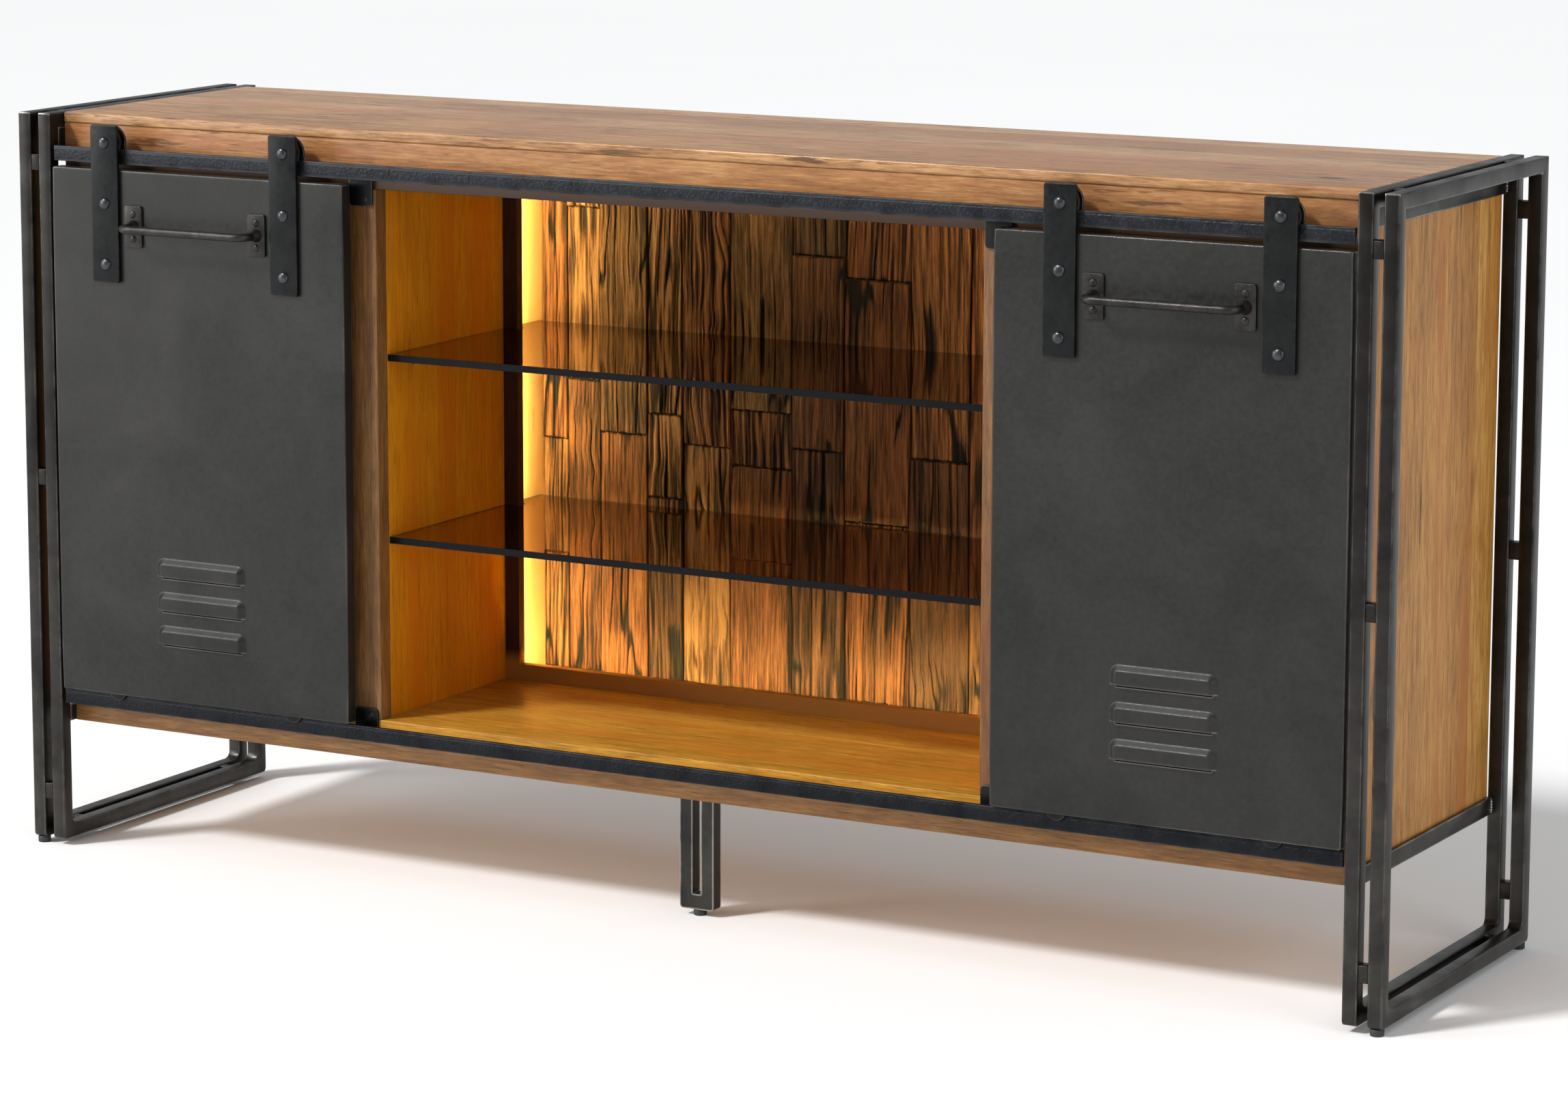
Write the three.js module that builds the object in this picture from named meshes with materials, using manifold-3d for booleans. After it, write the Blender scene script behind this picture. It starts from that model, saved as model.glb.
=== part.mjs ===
// Industrial sideboard: a wooden carcass held between two welded steel end frames.
// Two steel doors hang on rollers from a flat track and slide towards the middle.
//
// Frame: millimetres, +X to the right, +Y to the back, +Z up.
// Origin: on the floor, at the middle of the overall box.

import * as THREE from 'three';
import { mergeVertices } from 'three/addons/utils/BufferGeometryUtils.js';
import Module from 'manifold-3d';

const wasm = await Module();
wasm.setup();

// ---------------------------------------------------------------- driving dimensions

const WIDTH = 1778;
const DEPTH = 432;
const HEIGHT = 900;
const FOOT_HEIGHT = 8;

const TUBE = 17.5; // side of the square tube of the end frames
const TUBE_WALL = 1.5;
const LOOP_GAP = 11.5; // space between the two loops of an end frame
const LOOP_OUTER_RADIUS = 5; // outside of the bottom corners
const LOOP_INNER_RADIUS = 10; // weld fillet inside the bottom corners
const SPACER_HEIGHT = 19.5;
const SPACER_RECESS = 1;
const SPACER_CENTRES_Z = [66.5, 457, 840.5];
const RAIL_SPACER_START = 52; // from the front or the back of the frame
const RAIL_SPACER_LENGTH = 12;

const SIDE_BAR = 5; // thickness of the flat bars under and over the side panel
const LOWER_BAR_Z = [154, 174];
const UPPER_BAR_Z = [858, HEIGHT - TUBE];

const PANEL = 18; // general board thickness
const TOP_BOARD = 12.5;
const CARCASS_FRONT = 28; // behind the front plane of the end frames
const CARCASS_BACK = 412;
const APRON_RECESS = 2; // apron face behind the edge of the top board
const APRON_BOTTOM = 831;
const CARCASS_BOTTOM = 153.5;
const FLOOR_TOP = 201; // upper face of the bottom board
const BAY_HALF = 395; // half the clear width of the middle bay
const STILE_WIDTH = 38;
const STILE_DEPTH = 22;
const BACK_THICKNESS = 8;
const MOSAIC_THICKNESS = 10;
const BACK_FACE = 408; // rear face of the back panels

const LIGHT_FRAME_Y = 305;
const LIGHT_FRAME_DEPTH = 12;
const LIGHT_FRAME_WIDTH = 20;
const LED_WIDTH = 8;
const LED_DEPTH = 3;

const GLASS = 8;
const GLASS_FRONT = 50;
const GLASS_BACK = 387;
const GLASS_TOPS = { upper_glass_shelf: 635, lower_glass_shelf: 418 };
const SIDE_SHELF_TOP = 520;
const SIDE_SHELF_FRONT = 60;

const TRACK_FRONT = 3;
const TRACK_THICKNESS = 5.5;
const TRACK_HALF_LENGTH = 839;
const UPPER_TRACK_Z = [844, 862];
const LOWER_TRACK_Z = [179.5, 197.5];
const BRACKET_THICKNESS = 3;
const BRACKET_HEIGHT = 36;

const DOOR_WIDTH = 418;
const DOOR_BOTTOM = 198.5;
const DOOR_TOP = 837.5;
const DOOR_FRONT = -1.5;
const DOOR_DEPTH = 17;
const DOOR_SKIN = 1.5;
const DOOR_RETURN = 14; // lip folded in at the back
const DOOR_CORNER = 4;
const DOOR_END_GAP = 3; // from a closed door to the upright beside it

const LOUVRE_LENGTH = 126;
const LOUVRE_HEIGHT = 22;
const LOUVRE_PROUD = 6;
const LOUVRE_SLOPE = 6;
const LOUVRE_CORNER = 10;
const LOUVRE_TOPS = [373.5, 332.5, 291.5];

const STRAP_WIDTH = 38.5;
const STRAP_THICKNESS = 5;
const STRAP_TOP = 891;
const STRAP_BOTTOM = 703;
const STRAP_CORNER = 3;
const STRAP_INSET = 81; // from a door's side to the middle of the strap
const AXLE_Z = 870;
const BOLT_PITCH = 72.75;
const BOLT_HEAD_RADIUS = 7;
const BOLT_HEAD_HEIGHT = 4;
const SHANK_RADIUS = 4;
const NUT_RADIUS = 6.5;
const NUT_HEIGHT = 3.5;

const ROLLER_RADIUS = 20.5;
const ROLLER_GROOVE_RADIUS = 7.7;
const ROLLER_BORE_RADIUS = 4.6;
const ROLLER_FRONT = -1.1;
const ROLLER_WIDTH = 13.4;
const ROLLER_GROOVE = 7;
const ROLLER_SIDES = 32;

const HANDLE_PLATE_WIDTH = 25;
const HANDLE_PLATE_HEIGHT = 50;
const HANDLE_PLATE = 3;
const HANDLE_HALF_SPAN = 88.5; // from the middle of a door to a plate's rivets
const HANDLE_Z = 771.5;
const HANDLE_REACH = 33; // from the door's face to the middle of the rod
const HANDLE_ROD_RADIUS = 4.25;
const HANDLE_BEND = 13;
const RIVET_OFFSET = 14.75;
const RIVET_RADIUS = 4.5;
const RIVET_HEIGHT = 2.5;

const GUIDE_RADIUS = 12.5;
const GUIDE_THICKNESS = 1.8;
const GUIDE_DROP = 7; // how far the cheeks reach below the door
const GUIDE_CLEARANCE = 0.8;
const GUIDE_NOTCH_HALF = 15;

const LEG_WIDTH = 44.5;
const LEG_FRONT = 88;
const LEG_SLOT_BOTTOM = 26;
const LEG_PLATE = [80, 54, 5]; // mounting plate under the bottom board
const LEG_TOP = 183;

const FOOT_RADIUS = 7.75;
const FOOT_STEM_RADIUS = 3.9;
const FOOT_STEM_TOP = 24;
const FOOT_HOLE_RADIUS = 4.8;
const FIT_GAP = 0.3;

// ---------------------------------------------------------------- derived places

const HALF = WIDTH / 2;
const LOOP_OUT = HALF - TUBE; // inner face of an outer loop
const LOOP_IN = LOOP_OUT - LOOP_GAP; // outer face of an inner loop
const CARCASS_HALF = LOOP_IN - TUBE; // inner face of an inner loop
const SIDE_INNER = CARCASS_HALF - PANEL;
const DIVIDER_OUT = BAY_HALF + PANEL;
const TOP_UNDERSIDE = HEIGHT - TOP_BOARD;
const FRONT_REACH = HANDLE_REACH - DOOR_FRONT + HANDLE_ROD_RADIUS;
const FRONT_PLANE = -(DEPTH - FRONT_REACH) / 2;

// ---------------------------------------------------------------- materials

const steel = (color, roughness, metalness = 0.85) =>
  new THREE.MeshStandardMaterial({ color, roughness, metalness });
const timber = (color, roughness = 0.55) =>
  new THREE.MeshStandardMaterial({ color, roughness, metalness: 0 });

const finish = {
  frame: () => steel(0x3d3b38, 0.45),
  door: () => steel(0x55544f, 0.5),
  strap: () => steel(0x2a2a2a, 0.4),
  track: () => steel(0x43484f, 0.6),
  roller: () => steel(0x2c2c2c, 0.35),
  handle: () => steel(0x4a4845, 0.35),
  topWood: () => timber(0xbf9d7c, 0.3),
  wood: () => timber(0xb57a45),
  mosaic: () => timber(0x8a5a30, 0.8),
  darkWood: () => timber(0x2c1408, 0.6),
  ply: () => timber(0xa98a63, 0.7),
  led: () => new THREE.MeshStandardMaterial({ color: 0xffd27a, emissive: 0xffa030, roughness: 0.4 }),
  glass: () => new THREE.MeshStandardMaterial({ color: 0x2a1f18, roughness: 0.08, transparent: true, opacity: 0.7 }),
  foot: () => new THREE.MeshStandardMaterial({ color: 0x161616, roughness: 0.7 }),
};

// ---------------------------------------------------------------- shape helpers

const group = new THREE.Group();
group.position.set(0, FRONT_PLANE, 0);

function addPart(name, geometry, material) {
  const mesh = new THREE.Mesh(geometry, material);
  mesh.name = name;
  group.add(mesh);
}

// A box between two corners.
function block(x, y, z) {
  const geometry = new THREE.BoxGeometry(x[1] - x[0], y[1] - y[0], z[1] - z[0]);
  return geometry.translate((x[0] + x[1]) / 2, (y[0] + y[1]) / 2, (z[0] + z[1]) / 2);
}

// The same span on the left (side -1) or the right (side 1) of the middle.
function sideSpan(side, near, far) {
  return side < 0 ? [-far, -near] : [near, far];
}

function toSolid(geometry) {
  const plain = geometry.clone();
  plain.deleteAttribute('normal');
  plain.deleteAttribute('uv');
  const merged = mergeVertices(plain, 1e-4);
  return new wasm.Manifold(new wasm.Mesh({
    numProp: 3,
    vertProperties: new Float32Array(merged.attributes.position.array),
    triVerts: new Uint32Array(merged.index.array),
  }));
}

function toGeometry(solid) {
  const mesh = solid.getMesh();
  const geometry = new THREE.BufferGeometry();
  geometry.setAttribute('position', new THREE.BufferAttribute(new Float32Array(mesh.vertProperties), 3));
  geometry.setIndex(new THREE.BufferAttribute(new Uint32Array(mesh.triVerts), 1));
  geometry.computeVertexNormals();
  return geometry;
}

function union(geometries) {
  return geometries.map(toSolid).reduce((sum, next) => sum.add(next));
}

// body + all in `joined` - all in `cuts`
function combine(body, joined, cuts = []) {
  let solid = union([body, ...joined]);
  for (const cut of cuts) {
    solid = solid.subtract(toSolid(cut));
  }
  return toGeometry(solid);
}

// A rectangle with its own corner radius at each corner: [low left, low right, high right, high left].
function roundedOutline(Outline, x0, x1, z0, z1, radii) {
  const [r0, r1, r2, r3] = radii;
  const outline = new Outline();
  outline.moveTo(x0 + r0, z0);
  outline.lineTo(x1 - r1, z0);
  if (r1 > 0) outline.absarc(x1 - r1, z0 + r1, r1, -Math.PI / 2, 0, false);
  outline.lineTo(x1, z1 - r2);
  if (r2 > 0) outline.absarc(x1 - r2, z1 - r2, r2, 0, Math.PI / 2, false);
  outline.lineTo(x0 + r3, z1);
  if (r3 > 0) outline.absarc(x0 + r3, z1 - r3, r3, Math.PI / 2, Math.PI, false);
  outline.lineTo(x0, z0 + r0);
  if (r0 > 0) outline.absarc(x0 + r0, z0 + r0, r0, Math.PI, Math.PI * 1.5, false);
  return outline;
}

function extrude(shape, depth, curveSegments = 5) {
  return new THREE.ExtrudeGeometry(shape, { depth, bevelEnabled: false, curveSegments });
}

// Outline drawn in Y and Z, carried along X from x0.
function extrudeAlongX(shape, x0, length) {
  const place = new THREE.Matrix4().set(0, 0, 1, x0, 1, 0, 0, 0, 0, 1, 0, 0, 0, 0, 0, 1);
  return extrude(shape, length).applyMatrix4(place);
}

// Outline drawn in X and Z, carried along Y from y0.
function extrudeAlongY(shape, y0, length) {
  const place = new THREE.Matrix4().set(1, 0, 0, 0, 0, 0, -1, y0 + length, 0, 1, 0, 0, 0, 0, 0, 1);
  return extrude(shape, length).applyMatrix4(place);
}

// A turned piece about an axis along Y: the profile is [radius, y] from front to back.
function turnedAlongY(profile, x, z, sides = 16) {
  const points = profile.map(([r, y]) => new THREE.Vector2(r, y));
  return new THREE.LatheGeometry(points, sides).translate(x, 0, z);
}

function cylinderZ(radius, z0, z1, x, y, sides = 16) {
  const geometry = new THREE.CylinderGeometry(radius, radius, z1 - z0, sides);
  return geometry.rotateX(Math.PI / 2).translate(x, y, (z0 + z1) / 2);
}

// ---------------------------------------------------------------- end frames

function loopShape(inset) {
  const bottom = [LOOP_OUTER_RADIUS, LOOP_OUTER_RADIUS, 0, 0].map((r) => Math.max(r - inset, 0));
  const hole = [LOOP_INNER_RADIUS, LOOP_INNER_RADIUS, 0, 0].map((r) => (r > 0 ? r + inset : 0));
  const shape = roundedOutline(THREE.Shape, inset, DEPTH - inset, FOOT_HEIGHT + inset, HEIGHT - inset, bottom);
  const far = TUBE - inset;
  shape.holes.push(roundedOutline(THREE.Path, far, DEPTH - far, FOOT_HEIGHT + far, HEIGHT - far, hole));
  return shape;
}

function hollowLoop(x) {
  const tube = extrudeAlongX(loopShape(0), x[0], TUBE);
  const bore = extrudeAlongX(loopShape(TUBE_WALL), x[0] + TUBE_WALL, TUBE - 2 * TUBE_WALL);
  return { tube, bore };
}

const footPlaces = [TUBE / 2, DEPTH - TUBE / 2].map((y) => ({ x: HALF - TUBE / 2, y }));

function spacersOf(side) {
  const x = sideSpan(side, LOOP_IN, LOOP_OUT);
  const front = [SPACER_RECESS, TUBE - SPACER_RECESS];
  const back = [DEPTH - TUBE + SPACER_RECESS, DEPTH - SPACER_RECESS];
  const spacers = [];
  for (const centre of SPACER_CENTRES_Z) {
    const z = [centre - SPACER_HEIGHT / 2, centre + SPACER_HEIGHT / 2];
    spacers.push(block(x, front, z), block(x, back, z));
  }
  const starts = [RAIL_SPACER_START, DEPTH - RAIL_SPACER_START - RAIL_SPACER_LENGTH];
  for (const start of starts) {
    const y = [start, start + RAIL_SPACER_LENGTH];
    spacers.push(block(x, y, [FOOT_HEIGHT + SPACER_RECESS, FOOT_HEIGHT + TUBE - SPACER_RECESS]));
    spacers.push(block(x, y, [HEIGHT - TUBE + SPACER_RECESS, HEIGHT - SPACER_RECESS]));
  }
  return spacers;
}

for (const side of [-1, 1]) {
  const hand = side < 0 ? 'left' : 'right';

  const outer = hollowLoop(sideSpan(side, LOOP_OUT, HALF));
  const footHoles = footPlaces.map(({ x, y }) =>
    cylinderZ(FOOT_HOLE_RADIUS, FOOT_HEIGHT - 1, FOOT_HEIGHT + TUBE_WALL + 1, side * x, y));
  addPart(`${hand}_outer_loop`, combine(outer.tube, spacersOf(side), [outer.bore, ...footHoles]), finish.frame());

  const inner = hollowLoop(sideSpan(side, CARCASS_HALF, LOOP_IN));
  const ventX = side * (CARCASS_HALF + TUBE / 2);
  const vent = cylinderZ(2.5, FOOT_HEIGHT - 1, FOOT_HEIGHT + TUBE_WALL + 1, ventX, DEPTH / 2, 8);
  addPart(`${hand}_inner_loop`, combine(inner.tube, [], [inner.bore, vent]), finish.frame());

  const barX = sideSpan(side, CARCASS_HALF, CARCASS_HALF + SIDE_BAR);
  const barY = [TUBE, DEPTH - TUBE];
  addPart(`${hand}_lower_side_bar`, block(barX, barY, LOWER_BAR_Z), finish.frame());
  addPart(`${hand}_upper_side_bar`, block(barX, barY, UPPER_BAR_Z), finish.frame());
}

// ---------------------------------------------------------------- carcass

const carcassX = [-CARCASS_HALF, CARCASS_HALF];
const railBack = CARCASS_FRONT + PANEL;
const apronFront = CARCASS_FRONT + APRON_RECESS;
const apronBack = apronFront + PANEL;
const boardBottom = FLOOR_TOP - PANEL;

addPart('top_board', block(carcassX, [CARCASS_FRONT, CARCASS_BACK], [TOP_UNDERSIDE, HEIGHT]), finish.topWood());
addPart('front_apron', block(carcassX, [apronFront, apronBack], [APRON_BOTTOM, TOP_UNDERSIDE]), finish.wood());
addPart('bottom_front_rail', block(carcassX, [CARCASS_FRONT, railBack], [CARCASS_BOTTOM, boardBottom]), finish.wood());
addPart(
  'bottom_board',
  block([-SIDE_INNER, SIDE_INNER], [CARCASS_FRONT, CARCASS_BACK], [boardBottom, FLOOR_TOP]),
  finish.wood(),
);

// A side panel is notched at its front corners for the apron and the bottom rail.
function sidePanelShape() {
  const shape = new THREE.Shape();
  shape.moveTo(railBack, CARCASS_BOTTOM);
  shape.lineTo(CARCASS_BACK, CARCASS_BOTTOM);
  shape.lineTo(CARCASS_BACK, TOP_UNDERSIDE);
  shape.lineTo(apronBack, TOP_UNDERSIDE);
  shape.lineTo(apronBack, APRON_BOTTOM);
  shape.lineTo(CARCASS_FRONT, APRON_BOTTOM);
  shape.lineTo(CARCASS_FRONT, boardBottom);
  shape.lineTo(railBack, boardBottom);
  shape.closePath();
  return shape;
}

for (const side of [-1, 1]) {
  const hand = side < 0 ? 'left' : 'right';
  const bayBack = BACK_FACE - BACK_THICKNESS;

  const panelX = sideSpan(side, SIDE_INNER, CARCASS_HALF);
  addPart(`${hand}_side_panel`, extrudeAlongX(sidePanelShape(), panelX[0], PANEL), finish.wood());

  const dividerX = sideSpan(side, BAY_HALF, DIVIDER_OUT);
  const stileX = sideSpan(side, BAY_HALF, BAY_HALF + STILE_WIDTH);
  const stileBack = CARCASS_FRONT + STILE_DEPTH;
  addPart(`${hand}_stile`, block(stileX, [CARCASS_FRONT, stileBack], [FLOOR_TOP, APRON_BOTTOM]), finish.wood());
  addPart(`${hand}_divider`, block(dividerX, [stileBack, BACK_FACE], [FLOOR_TOP, TOP_UNDERSIDE]), finish.wood());

  const bayX = sideSpan(side, DIVIDER_OUT, SIDE_INNER);
  addPart(`${hand}_back_panel`, block(bayX, [bayBack, BACK_FACE], [FLOOR_TOP, TOP_UNDERSIDE]), finish.ply());
  const shelfZ = [SIDE_SHELF_TOP - PANEL, SIDE_SHELF_TOP];
  addPart(`${hand}_bay_shelf`, block(bayX, [SIDE_SHELF_FRONT, bayBack], shelfZ), finish.wood());
}

// ---------------------------------------------------------------- middle bay

const bayX = [-BAY_HALF, BAY_HALF];
addPart(
  'mosaic_back_panel',
  block(bayX, [BACK_FACE - MOSAIC_THICKNESS, BACK_FACE], [FLOOR_TOP, TOP_UNDERSIDE]),
  finish.mosaic(),
);

const lightFrameBack = LIGHT_FRAME_Y + LIGHT_FRAME_DEPTH;
function lightFrameShape() {
  const square = [0, 0, 0, 0];
  const shape = roundedOutline(THREE.Shape, -BAY_HALF, BAY_HALF, FLOOR_TOP, TOP_UNDERSIDE, square);
  const w = LIGHT_FRAME_WIDTH;
  shape.holes.push(
    roundedOutline(THREE.Path, -BAY_HALF + w, BAY_HALF - w, FLOOR_TOP + w, TOP_UNDERSIDE - w, square),
  );
  return shape;
}
addPart('light_frame', extrudeAlongY(lightFrameShape(), LIGHT_FRAME_Y, LIGHT_FRAME_DEPTH), finish.darkWood());

// Light strips on the back of the frame, each along the middle of its member.
const ledInset = (LIGHT_FRAME_WIDTH - LED_WIDTH) / 2;
const ledY = [lightFrameBack, lightFrameBack + LED_DEPTH];
const ledLow = FLOOR_TOP + ledInset;
const ledHigh = TOP_UNDERSIDE - ledInset;
const ledReach = BAY_HALF - LIGHT_FRAME_WIDTH;
const ledUpright = [ledLow, ledHigh];
for (const side of [-1, 1]) {
  const hand = side < 0 ? 'left' : 'right';
  const x = sideSpan(side, BAY_HALF - ledInset - LED_WIDTH, BAY_HALF - ledInset);
  addPart(`${hand}_light_strip`, block(x, ledY, ledUpright), finish.led());
}
addPart('lower_light_strip', block([-ledReach, ledReach], ledY, [ledLow, ledLow + LED_WIDTH]), finish.led());
addPart('upper_light_strip', block([-ledReach, ledReach], ledY, [ledHigh - LED_WIDTH, ledHigh]), finish.led());

// A glass shelf is notched on both sides around the light frame.
function glassShape() {
  const edge = BAY_HALF - FIT_GAP;
  const notch = BAY_HALF - LIGHT_FRAME_WIDTH - 1;
  const notchFront = LIGHT_FRAME_Y - 1;
  const notchBack = lightFrameBack + LED_DEPTH + 1;
  const right = [
    [edge, GLASS_FRONT],
    [edge, notchFront],
    [notch, notchFront],
    [notch, notchBack],
    [edge, notchBack],
    [edge, GLASS_BACK],
  ];
  const left = right.map(([x, y]) => [-x, y]).reverse();
  return new THREE.Shape([...right, ...left].map(([x, y]) => new THREE.Vector2(x, y)));
}
for (const [name, top] of Object.entries(GLASS_TOPS)) {
  addPart(name, extrude(glassShape(), GLASS).translate(0, 0, top - GLASS), finish.glass());
}

// ---------------------------------------------------------------- tracks

const trackX = [-TRACK_HALF_LENGTH, TRACK_HALF_LENGTH];
const trackBack = TRACK_FRONT + TRACK_THICKNESS;
addPart('upper_track', block(trackX, [TRACK_FRONT, trackBack], UPPER_TRACK_Z), finish.track());
addPart('lower_track', block(trackX, [TRACK_FRONT, trackBack], LOWER_TRACK_Z), finish.track());

// Angle bracket: a plate on the stile's front edge and a tongue to the back of the track.
function bracketShape(tongueZ, plateZ) {
  const plateFront = CARCASS_FRONT - BRACKET_THICKNESS;
  const points = plateZ > tongueZ
    ? [
      [trackBack, tongueZ],
      [CARCASS_FRONT, tongueZ],
      [CARCASS_FRONT, plateZ],
      [plateFront, plateZ],
      [plateFront, tongueZ + BRACKET_THICKNESS],
      [trackBack, tongueZ + BRACKET_THICKNESS],
    ]
    : [
      [trackBack, tongueZ],
      [trackBack, tongueZ - BRACKET_THICKNESS],
      [plateFront, tongueZ - BRACKET_THICKNESS],
      [plateFront, plateZ],
      [CARCASS_FRONT, plateZ],
      [CARCASS_FRONT, tongueZ],
    ];
  return new THREE.Shape(points.map(([y, z]) => new THREE.Vector2(y, z)));
}

const bracketInset = 3;
const bracketWidth = STILE_WIDTH - 2 * bracketInset;
for (const side of [-1, 1]) {
  const hand = side < 0 ? 'left' : 'right';
  const near = BAY_HALF + bracketInset;
  const x = sideSpan(side, near, near + bracketWidth);
  const upperTongue = UPPER_TRACK_Z[0] + BRACKET_THICKNESS;
  const upper = bracketShape(upperTongue, upperTongue - BRACKET_HEIGHT);
  const lower = bracketShape(LOWER_TRACK_Z[0], LOWER_TRACK_Z[0] + BRACKET_HEIGHT - 1);
  addPart(`${hand}_upper_track_bracket`, extrudeAlongX(upper, x[0], bracketWidth), finish.strap());
  addPart(`${hand}_lower_track_bracket`, extrudeAlongX(lower, x[0], bracketWidth), finish.strap());
}

// ---------------------------------------------------------------- middle leg and feet

function legShape() {
  const half = LEG_WIDTH / 2;
  const corner = 4;
  const shape = roundedOutline(THREE.Shape, -half, half, FOOT_HEIGHT, LEG_TOP, [corner, corner, 0, 0]);
  const slot = LOOP_GAP / 2;
  const slotTop = LEG_TOP - LEG_PLATE[2] - 4;
  shape.holes.push(roundedOutline(THREE.Path, -slot, slot, LEG_SLOT_BOTTOM, slotTop, [0, 0, 0, 0]));
  return shape;
}

const legMiddleY = LEG_FRONT + TUBE / 2;
const [plateLength, plateDepth, plateThickness] = LEG_PLATE;
addPart(
  'middle_leg',
  combine(
    extrudeAlongY(legShape(), LEG_FRONT, TUBE),
    [block(
      [-plateLength / 2, plateLength / 2],
      [legMiddleY - plateDepth / 2, legMiddleY + plateDepth / 2],
      [LEG_TOP - plateThickness, LEG_TOP],
    )],
    [cylinderZ(FOOT_HOLE_RADIUS, FOOT_HEIGHT - 1, FOOT_STEM_TOP + 1, 0, legMiddleY)],
  ),
  finish.frame(),
);

// Levelling foot: a round pad on a threaded stem, turned about Z.
function foot(x, y) {
  const padTop = FOOT_HEIGHT - FIT_GAP;
  const chamfer = 1;
  const profile = [
    [0, 0],
    [FOOT_RADIUS - chamfer, 0],
    [FOOT_RADIUS, chamfer],
    [FOOT_RADIUS, padTop],
    [FOOT_STEM_RADIUS, padTop],
    [FOOT_STEM_RADIUS, FOOT_STEM_TOP],
    [0, FOOT_STEM_TOP],
  ];
  const points = profile.map(([r, z]) => new THREE.Vector2(r, z));
  return new THREE.LatheGeometry(points, 20).rotateX(Math.PI / 2).translate(x, y, 0);
}

for (const side of [-1, 1]) {
  const hand = side < 0 ? 'left' : 'right';
  footPlaces.forEach(({ x, y }, i) => {
    addPart(`${hand}_${i === 0 ? 'front' : 'back'}_foot`, foot(side * x, y), finish.foot());
  });
}
addPart('middle_foot', foot(0, legMiddleY), finish.foot());

// ---------------------------------------------------------------- doors

const boltPlaces = [AXLE_Z, AXLE_Z - BOLT_PITCH, AXLE_Z - 2 * BOLT_PITCH];
const skinBack = DOOR_FRONT + DOOR_SKIN;

// One pressed louvre: a hood with sloping top and ends, grown or shrunk by `inset`.
function louvreHood(x, top, inset) {
  const half = LOUVRE_LENGTH / 2 - inset;
  const low = top - LOUVRE_HEIGHT;
  const high = top - inset;
  const face = DOOR_FRONT - LOUVRE_PROUD + inset;
  const slope = LOUVRE_SLOPE;
  const floor = inset > 0 ? low - 1 : low;
  const back = inset > 0 ? skinBack + 1 : DOOR_FRONT + 0.5;
  const corner = LOUVRE_CORNER - inset;
  const frontView = extrudeAlongY(
    roundedOutline(THREE.Shape, x - half, x + half, floor, high, [0, 0, corner, corner]),
    face - 1,
    back - face + 2,
  );
  const sideOutline = [[back, floor], [back, high], [DOOR_FRONT, high], [face, high - slope], [face, floor]];
  const sideView = extrudeAlongX(
    new THREE.Shape(sideOutline.map(([y, z]) => new THREE.Vector2(y, z))),
    x - half - 1,
    2 * half + 2,
  );
  const planOutline = [
    [x - half, back],
    [x - half, DOOR_FRONT],
    [x - half + slope, face],
    [x + half - slope, face],
    [x + half, DOOR_FRONT],
    [x + half, back],
  ];
  const planView = extrude(
    new THREE.Shape(planOutline.map(([px, py]) => new THREE.Vector2(px, py))),
    high - floor + 2,
  ).translate(0, 0, floor - 1);
  return toSolid(frontView).intersect(toSolid(sideView)).intersect(toSolid(planView));
}

// A folded steel tray: front skin, four returns and a lip folded in at the back.
function doorPanel(middle, strapPlaces) {
  const half = DOOR_WIDTH / 2;
  const round = (r) => [r, r, r, r];
  const trayShape = roundedOutline(
    THREE.Shape, middle - half, middle + half, DOOR_BOTTOM, DOOR_TOP, round(DOOR_CORNER),
  );
  const s = DOOR_SKIN;
  const insideShape = roundedOutline(
    THREE.Shape, middle - half + s, middle + half - s, DOOR_BOTTOM + s, DOOR_TOP - s, round(DOOR_CORNER - s),
  );
  const lip = DOOR_RETURN;
  const openShape = roundedOutline(
    THREE.Shape, middle - half + lip, middle + half - lip, DOOR_BOTTOM + lip, DOOR_TOP - lip, round(0),
  );
  let solid = toSolid(extrudeAlongY(trayShape, DOOR_FRONT, DOOR_DEPTH));
  solid = solid.subtract(toSolid(extrudeAlongY(insideShape, skinBack, DOOR_DEPTH - 2 * s)));
  solid = solid.subtract(toSolid(extrudeAlongY(openShape, skinBack + 5, DOOR_DEPTH)));
  for (const top of LOUVRE_TOPS) {
    solid = solid.add(louvreHood(middle, top, 0)).subtract(louvreHood(middle, top, s));
  }
  for (const x of strapPlaces) {
    for (const z of boltPlaces.slice(1)) {
      const hole = turnedAlongY([[0, -5], [SHANK_RADIUS + FIT_GAP, -5], [SHANK_RADIUS + FIT_GAP, 3], [0, 3]], x, z);
      solid = solid.subtract(toSolid(hole));
    }
    const notch = block(
      [x - GUIDE_NOTCH_HALF, x + GUIDE_NOTCH_HALF],
      [skinBack, trackBack + GUIDE_CLEARANCE + GUIDE_THICKNESS + FIT_GAP],
      [DOOR_BOTTOM - 1, DOOR_BOTTOM + s + FIT_GAP],
    );
    solid = solid.subtract(toSolid(notch));
  }
  return toGeometry(solid);
}

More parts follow.
